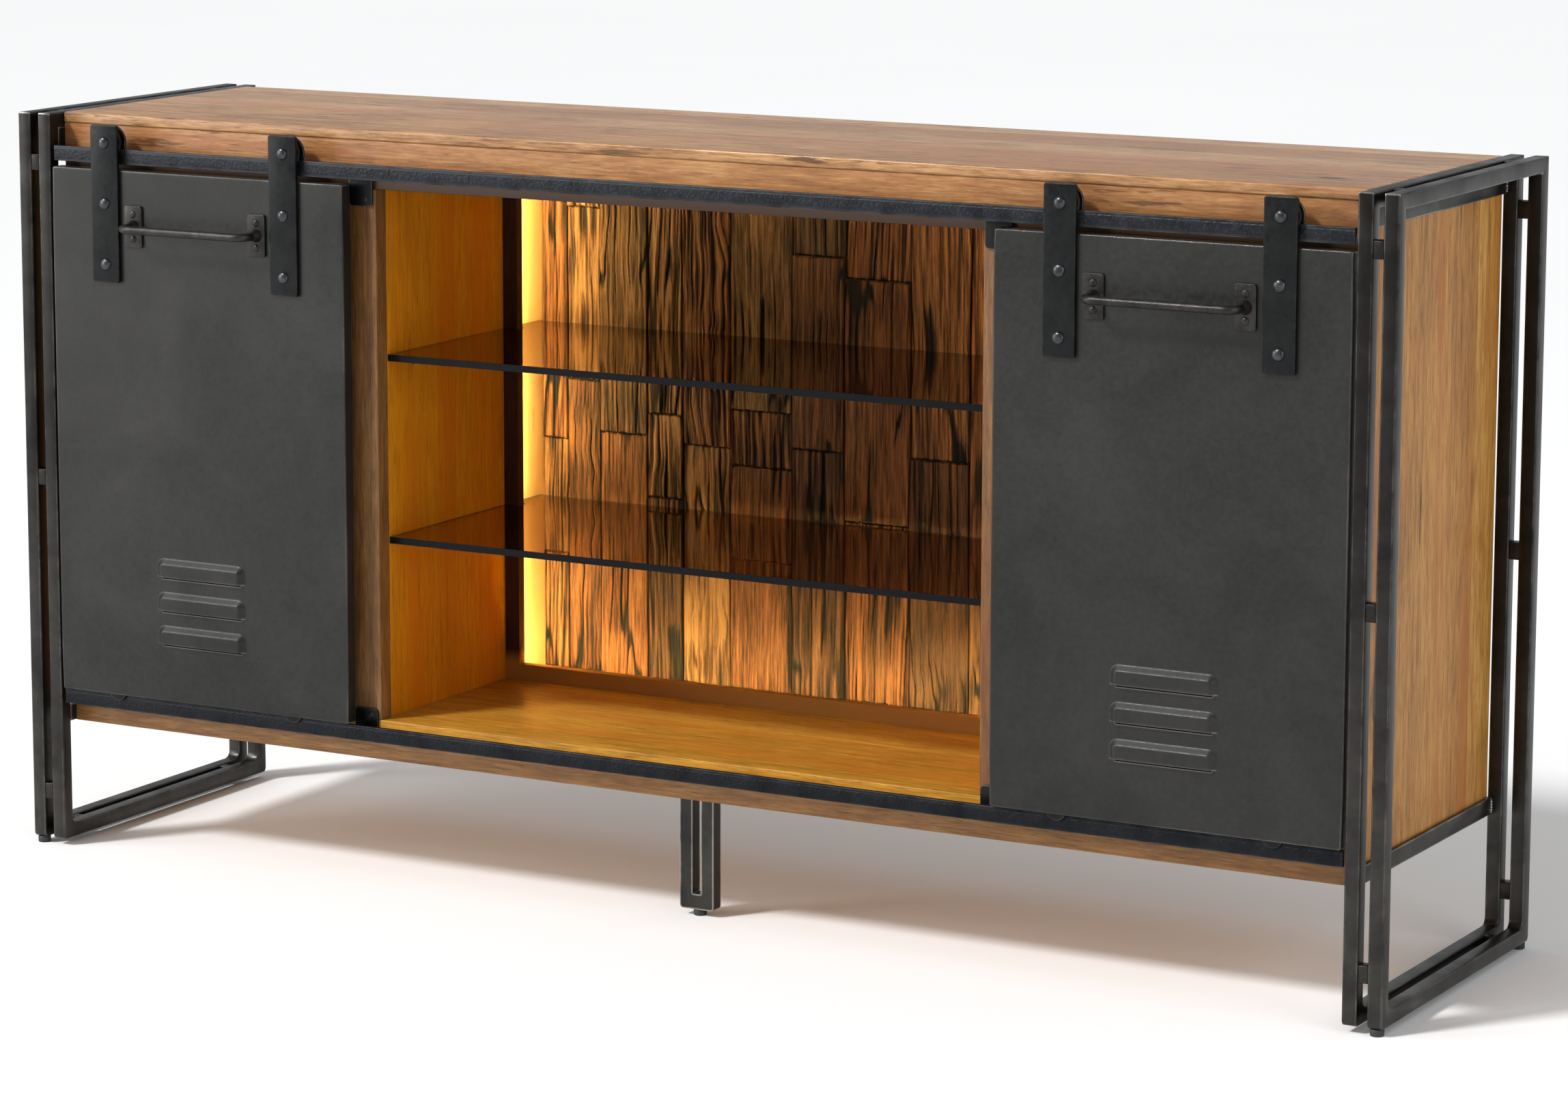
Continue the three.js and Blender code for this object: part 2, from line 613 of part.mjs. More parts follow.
// Hanger strap with its three domed bolts; the top bolt is the roller's axle.
function hangerStrap(x) {
  const back = DOOR_FRONT;
  const front = back - STRAP_THICKNESS;
  const half = STRAP_WIDTH / 2;
  const c = STRAP_CORNER;
  const plate = extrudeAlongY(
    roundedOutline(THREE.Shape, x - half, x + half, STRAP_BOTTOM, STRAP_TOP, [c, c, c, c]), front, STRAP_THICKNESS,
  );
  const h = BOLT_HEAD_HEIGHT;
  const r = BOLT_HEAD_RADIUS;
  const pieces = boltPlaces.map((z, i) => {
    const isAxle = i === 0;
    const nutFront = isAxle ? ROLLER_FRONT + ROLLER_WIDTH + FIT_GAP : skinBack + FIT_GAP;
    const nutBack = nutFront + NUT_HEIGHT;
    return turnedAlongY([
      [0, front - h],
      [r * 0.55, front - h * 0.86],
      [r * 0.88, front - h * 0.45],
      [r, front],
      [r, front + 1],
      [SHANK_RADIUS, front + 1],
      [SHANK_RADIUS, nutFront],
      [NUT_RADIUS, nutFront],
      [NUT_RADIUS, nutBack],
      [0, nutBack],
    ], x, z, 18);
  });
  return combine(plate, pieces);
}

// Grooved roller: two flanges that straddle the track's upper edge.
function roller(x) {
  const flange = (ROLLER_WIDTH - ROLLER_GROOVE) / 2;
  const back = ROLLER_FRONT + ROLLER_WIDTH;
  const grooveFront = ROLLER_FRONT + flange;
  const grooveBack = back - flange;
  const lip = 1;
  const profile = [
    [0, ROLLER_FRONT],
    [ROLLER_RADIUS - lip, ROLLER_FRONT],
    [ROLLER_RADIUS, ROLLER_FRONT + lip],
    [ROLLER_RADIUS, grooveFront],
    [ROLLER_GROOVE_RADIUS, grooveFront],
    [ROLLER_GROOVE_RADIUS, grooveBack],
    [ROLLER_RADIUS, grooveBack],
    [ROLLER_RADIUS, back - lip],
    [ROLLER_RADIUS - lip, back],
    [0, back],
  ];
  const bore = [
    [0, ROLLER_FRONT - 1],
    [ROLLER_BORE_RADIUS, ROLLER_FRONT - 1],
    [ROLLER_BORE_RADIUS, back + 1],
    [0, back + 1],
  ];
  const wheel = turnedAlongY(profile, x, AXLE_Z, ROLLER_SIDES);
  return combine(wheel, [], [turnedAlongY(bore, x, AXLE_Z)]);
}

// Bent rod handle on two riveted plates.
function handle(middle) {
  const plateFront = DOOR_FRONT - HANDLE_PLATE;
  const rodY = DOOR_FRONT - HANDLE_REACH;
  const span = HANDLE_HALF_SPAN;
  const b = HANDLE_BEND;
  const path = new THREE.CurvePath();
  const at = (x, y) => new THREE.Vector3(middle + x, y, HANDLE_Z);
  path.add(new THREE.LineCurve3(at(-span, plateFront + 1), at(-span, rodY + b)));
  path.add(new THREE.QuadraticBezierCurve3(at(-span, rodY + b), at(-span, rodY), at(-span + b, rodY)));
  path.add(new THREE.LineCurve3(at(-span + b, rodY), at(span - b, rodY)));
  path.add(new THREE.QuadraticBezierCurve3(at(span - b, rodY), at(span, rodY), at(span, rodY + b)));
  path.add(new THREE.LineCurve3(at(span, rodY + b), at(span, plateFront + 1)));
  const section = new THREE.Shape();
  section.absarc(0, 0, HANDLE_ROD_RADIUS, 0, Math.PI * 2, false);
  const rod = new THREE.ExtrudeGeometry(section, { steps: 44, extrudePath: path, curveSegments: 5 });
  const pieces = [];
  for (const x of [middle - span, middle + span]) {
    const half = HANDLE_PLATE_WIDTH / 2;
    const low = HANDLE_Z - HANDLE_PLATE_HEIGHT / 2;
    const outline = roundedOutline(THREE.Shape, x - half, x + half, low, low + HANDLE_PLATE_HEIGHT, [3, 3, 3, 3]);
    pieces.push(extrudeAlongY(outline, plateFront, HANDLE_PLATE));
    for (const z of [HANDLE_Z - RIVET_OFFSET, HANDLE_Z + RIVET_OFFSET]) {
      pieces.push(turnedAlongY([
        [0, plateFront - RIVET_HEIGHT],
        [RIVET_RADIUS * 0.7, plateFront - RIVET_HEIGHT * 0.7],
        [RIVET_RADIUS, plateFront],
        [RIVET_RADIUS, plateFront + 1],
        [0, plateFront + 1],
      ], x, z, 14));
    }
  }
  return combine(rod, pieces);
}

// Lower guide: a pad inside the door's bottom fold with two round cheeks that straddle the lower track.
function guide(x) {
  const cheekFronts = [TRACK_FRONT - GUIDE_CLEARANCE - GUIDE_THICKNESS, trackBack + GUIDE_CLEARANCE];
  const floor = DOOR_BOTTOM + DOOR_SKIN + FIT_GAP;
  const padHeight = 6;
  const centre = DOOR_BOTTOM - GUIDE_DROP + GUIDE_RADIUS;
  const keep = block([x - GUIDE_RADIUS, x + GUIDE_RADIUS], [-5, 30], [0, floor + padHeight]);
  const cheeks = cheekFronts.map((y) => {
    const disc = turnedAlongY(
      [[0, y], [GUIDE_RADIUS, y], [GUIDE_RADIUS, y + GUIDE_THICKNESS], [0, y + GUIDE_THICKNESS]], x, centre, 28,
    );
    return toSolid(disc).intersect(toSolid(keep));
  });
  const padHalf = GUIDE_NOTCH_HALF + 3;
  const padY = [cheekFronts[0], DOOR_FRONT + DOOR_DEPTH - DOOR_SKIN - FIT_GAP];
  const pad = toSolid(block([x - padHalf, x + padHalf], padY, [floor, floor + padHeight]));
  return toGeometry(cheeks.reduce((sum, cheek) => sum.add(cheek), pad));
}

for (const side of [-1, 1]) {
  const hand = side < 0 ? 'left' : 'right';
  const middle = side * (CARCASS_HALF - DOOR_END_GAP - DOOR_WIDTH / 2);
  const strapOffset = DOOR_WIDTH / 2 - STRAP_INSET;
  const straps = { outer: middle + side * strapOffset, inner: middle - side * strapOffset };
  addPart(`${hand}_door_panel`, doorPanel(middle, Object.values(straps)), finish.door());
  addPart(`${hand}_handle`, handle(middle), finish.handle());
  for (const [place, x] of Object.entries(straps)) {
    addPart(`${hand}_${place}_strap`, hangerStrap(x), finish.strap());
    addPart(`${hand}_${place}_roller`, roller(x), finish.roller());
    addPart(`${hand}_${place}_guide`, guide(x), finish.strap());
  }
}

export default group;
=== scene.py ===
"""Looks of the industrial sideboard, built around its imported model. Metres, +X right, +Y back, +Z up."""

import math

import bmesh
import bpy
import numpy as np
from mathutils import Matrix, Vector


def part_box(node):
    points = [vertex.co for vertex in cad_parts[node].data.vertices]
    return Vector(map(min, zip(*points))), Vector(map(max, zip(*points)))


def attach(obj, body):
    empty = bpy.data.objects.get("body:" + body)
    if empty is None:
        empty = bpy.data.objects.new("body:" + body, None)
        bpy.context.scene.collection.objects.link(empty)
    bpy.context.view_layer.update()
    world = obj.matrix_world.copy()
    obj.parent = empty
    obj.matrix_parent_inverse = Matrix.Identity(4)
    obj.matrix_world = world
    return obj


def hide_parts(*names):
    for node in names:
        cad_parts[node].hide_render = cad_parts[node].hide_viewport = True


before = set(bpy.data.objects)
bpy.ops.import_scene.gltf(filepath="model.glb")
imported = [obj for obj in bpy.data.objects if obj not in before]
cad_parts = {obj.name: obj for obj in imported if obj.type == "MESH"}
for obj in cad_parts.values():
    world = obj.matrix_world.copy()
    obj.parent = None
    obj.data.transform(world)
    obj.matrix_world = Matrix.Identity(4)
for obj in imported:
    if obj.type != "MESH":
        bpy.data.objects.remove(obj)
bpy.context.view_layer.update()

MM = 0.001
SIDES = {"left": -1, "right": 1}
CABINET = "cabinet"

# ---- sizes shared by several pieces

TUBE = 17.5 * MM
TUBE_ROUND = 1.6 * MM
FILLET = 10 * MM
BOARD_ROUND = 1.2 * MM
BOLT_HEAD = (7.2 * MM, 4.2 * MM)
RIVET_HEAD = (4.6 * MM, 2.4 * MM, 0.3 * MM)
SCREW_HEAD = (3.6 * MM, 1.6 * MM, 0.6 * MM)
AXLE_Z = 0.870
BOLT_PITCH = 72.75 * MM


def low(node):
    """Lower corner of a node's box."""
    return np.array(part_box(node)[0])


def high(node):
    """Upper corner of a node's box."""
    return np.array(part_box(node)[1])


def middle(node):
    """Centre of a node's box."""
    return (low(node) + high(node)) / 2


TRACK_MIDDLE = float(middle("upper_track")[2])
LOWER_TRACK_MIDDLE = float(middle("lower_track")[2])
LIGHT_FRAME_BACK = float(high("light_frame")[1])
LIGHT_FRAME_FOOT = float(low("light_frame")[2])


# ---- mesh helpers


def added(name, data):
    """A new object in the scene, at the origin."""
    piece = bpy.data.objects.new(name, data)
    bpy.context.collection.objects.link(piece)
    return piece


def object_from(name, points, faces, material, body=CABINET, replaced=(), tone=None):
    """A closed piece from points and faces. Points that meet are merged and the faces turned outwards."""
    name = name.replace(" ", "-").replace("_", "-")
    mesh = bpy.data.meshes.new(name)
    mesh.from_pydata(np.asarray(points, float).reshape(-1, 3).tolist(), [], faces)
    for attribute, values in (tone or {}).items():
        layer = mesh.attributes.new(attribute, "FLOAT", "POINT")
        layer.data.foreach_set("value", np.asarray(values, np.float32).ravel())
    work = bmesh.new()
    work.from_mesh(mesh)
    bmesh.ops.remove_doubles(work, verts=work.verts, dist=1e-6)
    bmesh.ops.dissolve_degenerate(work, edges=work.edges, dist=1e-7)
    bmesh.ops.recalc_face_normals(work, faces=work.faces)
    work.to_mesh(mesh)
    work.free()
    piece = added(name, mesh)
    mesh.materials.append(material)
    mesh.shade_smooth()
    mesh.set_sharp_from_angle(angle=math.radians(35))
    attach(piece, body)
    if replaced:
        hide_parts(*replaced)


def ring_faces(rings, around, wrap_rings=False):
    """Quads between neighbouring rings of `around` points each; flat caps close the first and last ring."""
    i, j = np.meshgrid(np.arange(rings if wrap_rings else rings - 1), np.arange(around), indexing="ij")
    here, beside = i * around, ((i + 1) % rings) * around
    along = (j + 1) % around
    quads = np.stack([here + j, here + along, beside + along, beside + j], axis=-1)
    faces = quads.reshape(-1, 4).tolist()
    if not wrap_rings:
        faces.append(list(range(around))[::-1])
        faces.append(list(range((rings - 1) * around, rings * around)))
    return faces


def grid_faces(rows, cols):
    """Quads of a rows by cols grid of points."""
    i, j = np.meshgrid(np.arange(rows - 1), np.arange(cols - 1), indexing="ij")
    first = i * cols + j
    return np.stack([first, first + 1, first + cols + 1, first + cols], axis=-1).reshape(-1, 4).tolist()


def grid_rim(rows, cols):
    """Indices once round the border of a rows by cols grid."""
    index = np.arange(rows * cols).reshape(rows, cols)
    return np.concatenate([index[0], index[1:, -1], index[-1, -2::-1], index[-2:0:-1, 0]]).tolist()


def quarter(steps):
    """Angles from 0 to a quarter turn."""
    return np.linspace(0, math.pi / 2, steps + 1)


def rounded_rectangle(width, height, corner, steps=5):
    """Outline as a function of how far it is drawn in, each corner a quarter circle about its own centre."""
    if np.isscalar(corner):
        corner = (corner,) * 4

    def outline(inset):
        """Points of the outline drawn in by `inset`."""
        half = np.array([width, height]) / 2 - inset
        rows = []
        for k, (sx, sy) in enumerate([(1, -1), (1, 1), (-1, 1), (-1, -1)]):
            radius = max(corner[k] - inset, 0)
            angle = quarter(steps) + (k - 1) * math.pi / 2
            centre = half * (sx, sy) - radius * np.array([sx, sy])
            rows.append(centre + radius * np.stack([np.cos(angle), np.sin(angle)], axis=1))
        return np.concatenate(rows)

    return outline


def circle(steps):
    """Points once round a circle of radius 1."""
    angle = np.arange(steps) * 2 * math.pi / steps
    return np.stack([np.cos(angle), np.sin(angle)], axis=1)


def disc(radius, steps=32):
    """Circular outline as a function of how far it is drawn in."""
    return lambda inset: (radius - inset) * circle(steps)


def slab_rings(outline, thickness, edge):
    """Rings of a plate: the outline drawn in by edge * (1 - sin t) at a depth of edge * (1 - cos t)."""
    turn = quarter(3)
    inset = edge * (1 - np.sin(turn))
    depth = edge * (1 - np.cos(turn))
    insets = np.concatenate([inset, inset[::-1]])
    depths = np.concatenate([depth, thickness - depth[::-1]])
    return [np.column_stack([outline(i), np.full(len(outline(i)), d)]) for i, d in zip(insets, depths)]


PLANES = {"X": (1, 2, 0), "Y": (0, 2, 1), "Z": (0, 1, 2)}


def laid(rings, axis, centre, start):
    """Turns (a, b, depth) rings so that depth runs along `axis` from `start`, about `centre`."""
    rings = np.stack(rings)
    a, b, d = PLANES[axis]
    placed = np.empty_like(rings)
    placed[..., a] = rings[..., 0] + centre[0]
    placed[..., b] = rings[..., 1] + centre[1]
    placed[..., d] = rings[..., 2] + start
    return placed


def plate(name, outline, axis, centre, start, thickness, edge, material, **more):
    """A flat plate with rounded edges, its outline carried along `axis`."""
    placed = laid(slab_rings(outline, thickness, edge), axis, centre, start)
    object_from(name, placed, ring_faces(*placed.shape[:2]), material, **more)


def board(name, lo, hi, edge, material, **more):
    """A box with rounded edges, its rounded outline carried along its shortest side."""
    size = np.asarray(hi) - np.asarray(lo)
    axis = "XYZ"[int(np.argmin(size))]
    a, b, d = PLANES[axis]
    centre = (np.asarray(lo) + np.asarray(hi)) / 2
    outline = rounded_rectangle(size[a], size[b], edge, 3)
    plate(name, outline, axis, centre[[a, b]], lo[d], size[d], edge * 0.98, material, **more)


def boards_for(nodes, edge, material):
    """A rounded board in the place of each plain board."""
    for node in nodes:
        board(node, low(node), high(node), edge, material, replaced=[node])


def turned(name, profile, axis, centre, material, steps=32, bored=False, **more):
    """A profile of (radius, depth) turned about `axis` through `centre`. A bored one closes on itself."""
    rings = [np.column_stack([max(r, 1e-5) * circle(steps), np.full(steps, d)]) for r, d in profile]
    a, b, d = PLANES[axis]
    placed = laid(rings, axis, (centre[a], centre[b]), centre[d])
    object_from(name, placed, ring_faces(*placed.shape[:2], wrap_rings=bored), material, **more)


def dome(radius, rise, skirt):
    """Profile of a domed head: a quarter ellipse from its tip at -rise to its rim, then a straight skirt."""
    cap = [(radius * math.sin(t), -rise * math.cos(t)) for t in quarter(7)]
    return cap + [(radius, skirt)]


def lattice_noise(x, y, cell_x, cell_y, seed):
    """Smooth noise from -1 to 1: random heights at a lattice, joined by the cubic 3t^2 - 2t^3 both ways."""
    table = np.random.default_rng(seed).uniform(-1, 1, (64, 64))
    gx, gy = x / cell_x, y / cell_y
    ix, iy = np.floor(gx).astype(int), np.floor(gy).astype(int)
    tx, ty = gx - ix, gy - iy
    tx, ty = tx * tx * (3 - 2 * tx), ty * ty * (3 - 2 * ty)

    def corner(a, b):
        """Heights at one corner of each point's lattice cell."""
        return table[(ix + a) % 64, (iy + b) % 64]

    near = corner(0, 0) * (1 - tx) + corner(1, 0) * tx
    far = corner(0, 1) * (1 - tx) + corner(1, 1) * tx
    return near * (1 - ty) + far * ty


# ---- material helpers


class Finish:
    """A material and short ways to add nodes to it."""

    def __init__(self, name, **values):
        self.material = bpy.data.materials.new(name)
        self.material.use_nodes = True
        self.nodes = self.material.node_tree.nodes
        self.links = self.material.node_tree.links
        self.shader = self.nodes["Principled BSDF"]
        for socket, value in values.items():
            self.shader.inputs[socket.replace("_", " ")].default_value = value

    def put(self, kind, inputs=None, **settings):
        """Adds a shader node with its inputs and settings."""
        node = self.nodes.new("ShaderNode" + kind)
        for key, value in settings.items():
            setattr(node, key, value)
        for key, value in (inputs or {}).items():
            self.feed(node.inputs[key], value)
        return node

    def feed(self, socket, value):
        """Links a socket to a node's output, or sets a plain value on it."""
        if isinstance(value, bpy.types.NodeSocket):
            self.links.new(value, socket)
        else:
            socket.default_value = value

    def place(self):
        """Place on the object, in metres."""
        return self.put("TexCoord").outputs["Object"]

    def part(self, vector, axis):
        """One coordinate of a vector."""
        return self.put("SeparateXYZ", {0: vector}).outputs["XYZ".index(axis)]

    def attribute(self, name):
        """A number kept at each point of the mesh."""
        return self.put("Attribute", attribute_name=name).outputs["Fac"]

    def shifted(self, vector, axis, amount):
        """A vector with `amount` added to one coordinate."""
        jump = self.put("CombineXYZ", {"XYZ".index(axis): amount}).outputs[0]
        return self.put("VectorMath", {0: vector, 1: jump}, operation="ADD").outputs[0]

    def scaled(self, vector, scale, location=(0, 0, 0)):
        """A vector stretched along each axis and moved."""
        inputs = {"Vector": vector, "Scale": scale, "Location": location}
        return self.put("Mapping", inputs).outputs["Vector"]

    def noise(self, vector, scale, detail=4.0, roughness=0.55, distortion=0.0):
        """Cloudy noise, mostly from 0.3 to 0.7."""
        inputs = {"Vector": vector, "Scale": scale, "Detail": detail, "Roughness": roughness,
                  "Distortion": distortion}
        return self.put("TexNoise", inputs).outputs["Fac"]

    def math(self, operation, a, b=0.0):
        """Any operation on one or two numbers."""
        return self.put("Math", {0: a, 1: b}, operation=operation).outputs[0]

    def times(self, a, b):
        """a multiplied by b."""
        return self.math("MULTIPLY", a, b)

    def plus(self, a, b):
        """a with b added."""
        return self.math("ADD", a, b)

    def ramp(self, factor, stops):
        """Colour from (position, colour) stops."""
        node = self.put("ValToRGB", {"Fac": factor})
        elements = node.color_ramp.elements
        while len(elements) < len(stops):
            elements.new(0.5)
        for element, (position, colour) in zip(elements, stops):
            element.position = position
            element.color = (*colour, 1)
        return node.outputs["Color"]

    def span(self, factor, start, stop, first=0.0, last=1.0):
        """Goes softly from `first` to `last` while the factor goes from `start` to `stop`."""
        inputs = {"Value": factor, "From Min": start, "From Max": stop, "To Min": first, "To Max": last}
        return self.put("MapRange", inputs, interpolation_type="SMOOTHSTEP").outputs["Result"]

    def mix(self, factor, a, b, blend="MIX"):
        """Colour a with colour b laid over it by `factor`."""
        node = self.put("Mix", data_type="RGBA", blend_type=blend)
        self.feed(node.inputs["Factor"], factor)
        for socket, colour in ((node.inputs[6], a), (node.inputs[7], b)):
            self.feed(socket, (*colour, 1) if isinstance(colour, tuple) else colour)
        return node.outputs[2]

    def edges(self, radius):
        """Near 1 where the surface turns within `radius`, 0 on flats."""
        soft = self.put("Bevel", {"Radius": radius}, samples=6).outputs["Normal"]
        true = self.put("NewGeometry").outputs["Normal"]
        dot = self.put("VectorMath", {0: soft, 1: true}, operation="DOT_PRODUCT").outputs["Value"]
        return self.math("SUBTRACT", 1.0, dot)

    def rubbed_and_highlit(self, clouds, reach, onset):
        """Where edges are bright, partly rubbed-through metal and partly painted highlight, more in some
        places than in others.
        """
        return self.span(self.times(self.edges(reach), self.span(clouds, 0.3, 0.65, 0.5, 1.6)), *onset)

    def bump(self, height, strength, distance):
        """Fine relief, too small to be modelled."""
        inputs = {"Height": height, "Strength": strength, "Distance": distance}
        node = self.put("Bump", inputs)
        self.links.new(node.outputs["Normal"], self.shader.inputs["Normal"])

    def show(self, socket, value):
        """Gives the surface one of its properties."""
        self.feed(self.shader.inputs[socket], value)


GRAIN_SCALE = {"X": (0.07, 1, 1), "Z": (1, 1, 0.07)}


def grained_wood(name, grain, tones, gloss, face="X", plank=None, knots=0.0, seed=0.0, sheen=0.4, even=0.15,
                 painted_light_band=None):
    """Board wood: stretched noise for tone, contour lines of slow noise for rings that bend round knots,
    short dark pores and drying cracks. Planks side by side in Y each shift the pattern and its tone."""
    f = Finish(name)
    f.shader.inputs["Specular IOR Level"].default_value = sheen
    place = f.place()
    jump_size, shift = seed, None
    if plank:
        index = f.math("FLOOR", f.math("DIVIDE", f.part(place, "Y"), plank))
        shift = f.put("TexWhiteNoise", {"W": index}, noise_dimensions="1D").outputs["Value"]
        jump_size = f.plus(f.times(shift, 3.0), seed)
    moved = f.shifted(place, grain, jump_size)
    along_grain = GRAIN_SCALE[grain]
    stretched = f.scaled(moved, along_grain, (seed, seed, seed))
    flat = tuple(0.0 if axis == face else 9.5 * (0.4 if axis == grain else 1.0) for axis in "XYZ")
    cells = f.put("TexVoronoi", {"Vector": f.scaled(moved, flat, (seed, seed, seed)), "Scale": 1.0})
    chosen = f.math("GREATER_THAN", f.part(cells.outputs["Color"], "X"), 0.68)
    near = f.times(f.span(cells.outputs["Distance"], 0.42, 0.0), chosen)
    heart = f.times(f.span(cells.outputs["Distance"], 0.085, 0.04), chosen)
    broad = f.noise(stretched, 9.0, 3.0, 0.5, 0.4)
    streaks = f.noise(stretched, 120.0, 5.0, 0.7, 0.4)
    threads = f.noise(stretched, 420.0, 3.0, 0.7, 0.2)
    bent = f.plus(broad, f.times(near, 0.2 * knots))
    rings = f.math("SINE", f.times(bent, 150.0))
    pores = f.noise(f.scaled(moved, tuple(2.2 * c for c in along_grain)), 300.0, 3.0, 0.6)
    patches = f.noise(place, 5.5, 4.0, 0.6)
    tone = f.plus(f.times(broad, 0.1), f.times(streaks, 0.35))
    tone = f.plus(tone, f.times(threads, 0.35))
    tone = f.plus(tone, f.times(patches, 0.2))
    if plank:
        tone = f.plus(tone, f.times(f.math("SUBTRACT", shift, 0.5), 0.1))
    colour = f.ramp(tone, [(0.5 - even, tones[0]), (0.5, tones[1]), (0.5 + even, tones[2])])
    colour = f.mix(f.span(rings, 0.4, 1.0, 0.0, 0.16), colour, tones[0])
    colour = f.mix(f.times(near, 0.5 * knots), colour, tones[0])
    dark = tuple(0.2 * c for c in tones[0])
    pore_mask = f.span(pores, 0.6, 0.7, 0.0, 0.55)
    colour = f.mix(pore_mask, colour, tuple(0.4 * c for c in tones[0]))
    redder = tuple(c * k for c, k in zip(tones[1], (0.95, 0.62, 0.5)))
    red_streaks = f.noise(f.scaled(moved, along_grain, (3, 3, 3)), 14.0, 3.0)
    colour = f.mix(f.span(red_streaks, 0.5, 0.68, 0.0, 0.55), colour, redder)
    # painted light and painted shade: along `axis` the colour goes over to a given tint, used to paint shade
    # under a track and light near the LED strips
    if painted_light_band:
        axis, start, stop, painted_tint = painted_light_band
        colour = f.mix(f.span(f.part(place, axis), start, stop), colour, painted_tint)
    where = f.span(f.noise(moved, 4.0, 2.0), 0.53, 0.65)
    crack = f.span(f.noise(f.scaled(moved, along_grain, (9, 9, 9)), 150.0, 3.0, 0.6), 0.57, 0.61)
    crack = f.times(f.times(crack, where), 0.75 * knots)
    colour = f.mix(crack, colour, dark)
    f.show("Base Color", f.mix(f.times(heart, knots), colour, dark))
    f.show("Roughness", f.span(pores, 0.3, 0.8, gloss, gloss + 0.16))
    relief = f.math("SUBTRACT", f.times(streaks, 0.3), f.plus(pore_mask, crack))
    f.bump(relief, 0.3, 0.6 * MM)
    return f.material


def lacquered_steel(name, dark, light, worn, roughness, metallic, mottle, reach, wear_and_highlight=1.0, brush=(1, 1, 1),
                    onset=(0.05, 0.3), lighter_near_floor=1.0, mask=None):
    """Raw steel under dark lacquer: cloudy tone, faint scratches, and bright edges that are partly
    rubbed-through metal and partly painted highlight. The colour can be lighter near the floor by a factor.
    `mask` names an attribute that holds the bright edges back."""
    f = Finish(name, Metallic=metallic)
    place = f.place()
    clouds = f.noise(place, mottle, 6.0, 0.62, 0.5)
    specks = f.noise(place, 260.0, 3.0, 0.6)
    streaked = f.noise(f.scaled(place, brush), 180.0, 4.0, 0.6)
    tone = f.plus(f.times(clouds, 0.7), f.times(streaked, 0.3))
    colour = f.ramp(tone, [(0.32, dark), (0.68, light)])
    # lighter towards the floor by the given factor, fading out by 0.6 m
    colour = f.mix(1.0, colour, f.span(f.part(place, "Z"), 0.1, 0.6, lighter_near_floor, 1.0), "MULTIPLY")
    # painted highlight and wear: edges go over to the light `worn` colour, partly rubbed-through metal and
    # partly painted highlight
    rubbed_and_highlit = f.times(f.rubbed_and_highlit(clouds, reach, onset), wear_and_highlight)
    if mask:
        rubbed_and_highlit = f.times(rubbed_and_highlit, f.attribute(mask))
    f.show("Base Color", f.mix(rubbed_and_highlit, colour, worn))
    matte = f.span(streaked, 0.25, 0.75, roughness - 0.07, roughness + 0.1)
    f.show("Roughness", f.math("SUBTRACT", matte, f.times(rubbed_and_highlit, 0.1)))
    f.bump(f.plus(f.times(specks, 0.5), streaked), 0.12, 0.4 * MM)
    return f.material


def hammered_steel(name, centre_height, dark, light):
    """Track steel: a scaly band of small shallow dents between two smoother margins."""
    f = Finish(name, Metallic=0.85)
    place = f.place()
    cells = f.put("TexVoronoi", {"Vector": place, "Scale": 330.0}, feature="SMOOTH_F1")
    margin = f.math("ABSOLUTE", f.math("SUBTRACT", f.part(place, "Z"), centre_height))
    band = f.span(margin, 6.2 * MM, 4.8 * MM)
    dents = f.times(cells.outputs["Distance"], band)
    clouds = f.noise(place, 40.0, 5.0, 0.6)
    colour = f.ramp(clouds, [(0.3, dark), (0.7, light)])
    colour = f.mix(f.span(dents, 0.1, 0.5, 0.0, 0.5), colour, (0.01, 0.011, 0.013))
    # painted highlight and wear: bright edges, partly rubbed metal and partly painted highlight
    f.show("Base Color", f.mix(f.rubbed_and_highlit(clouds, 2 * MM, (0.05, 0.3)), colour, (0.36, 0.37, 0.4)))
    f.show("Roughness", f.span(clouds, 0.3, 0.7, 0.38, 0.6))
    f.bump(dents, 0.55, 1.2 * MM)
    return f.material


def weathered_block_wood():
    """Old split wood: even on the ridges and near black in the grooves, partly the dark of its splits and
    joints and partly painted shade; each block has a tone of its own.
    """
    f = Finish("weathered block wood")
    f.shader.inputs["Specular IOR Level"].default_value = 0.25
    place = f.place()
    tone = f.attribute("tone")
    moved = f.shifted(place, "Z", f.times(tone, 9.0))
    fibres = f.noise(f.scaled(moved, (1, 1, 0.06)), 620.0, 3.0, 0.6, 0.3)
    lines = f.noise(f.scaled(moved, (1, 1, 0.035)), 330.0, 3.0, 0.6, 0.15)
    clouds = f.noise(f.scaled(moved, (1, 1, 0.5)), 26.0, 4.0, 0.6)
    fine = f.plus(f.span(fibres, 0.3, 0.7, 0.0, 0.4), f.span(lines, 0.3, 0.7, 0.0, 0.6))
    height = f.plus(f.times(f.attribute("rise"), 0.65), f.times(fine, 0.35))
    # painted shade and dark splits: the lowest points go near black
    brown = f.ramp(height, [(0.3, (0.001, 0.0003, 0.0001)), (0.42, (0.02, 0.0055, 0.001)),
                            (0.56, (0.062, 0.019, 0.0035)), (0.75, (0.12, 0.044, 0.01))])
    grey = f.ramp(height, [(0.3, (0.001, 0.0005, 0.0002)), (0.42, (0.024, 0.0095, 0.0026)),
                           (0.56, (0.075, 0.034, 0.01)), (0.75, (0.15, 0.078, 0.028))])
    mixed = f.mix(f.span(f.plus(tone, f.times(clouds, 0.5)), 0.6, 1.1), brown, grey)
    second = f.math("FRACT", f.times(tone, 7.3))
    strength = f.span(f.plus(second, clouds), 0.3, 1.3, 0.34, 1.2)
    f.show("Base Color", f.mix(1.0, mixed, strength, "MULTIPLY"))
    f.show("Roughness", f.span(height, 0.3, 0.7, 0.85, 0.6))
    f.bump(fine, 0.9, 1.3 * MM)
    return f.material


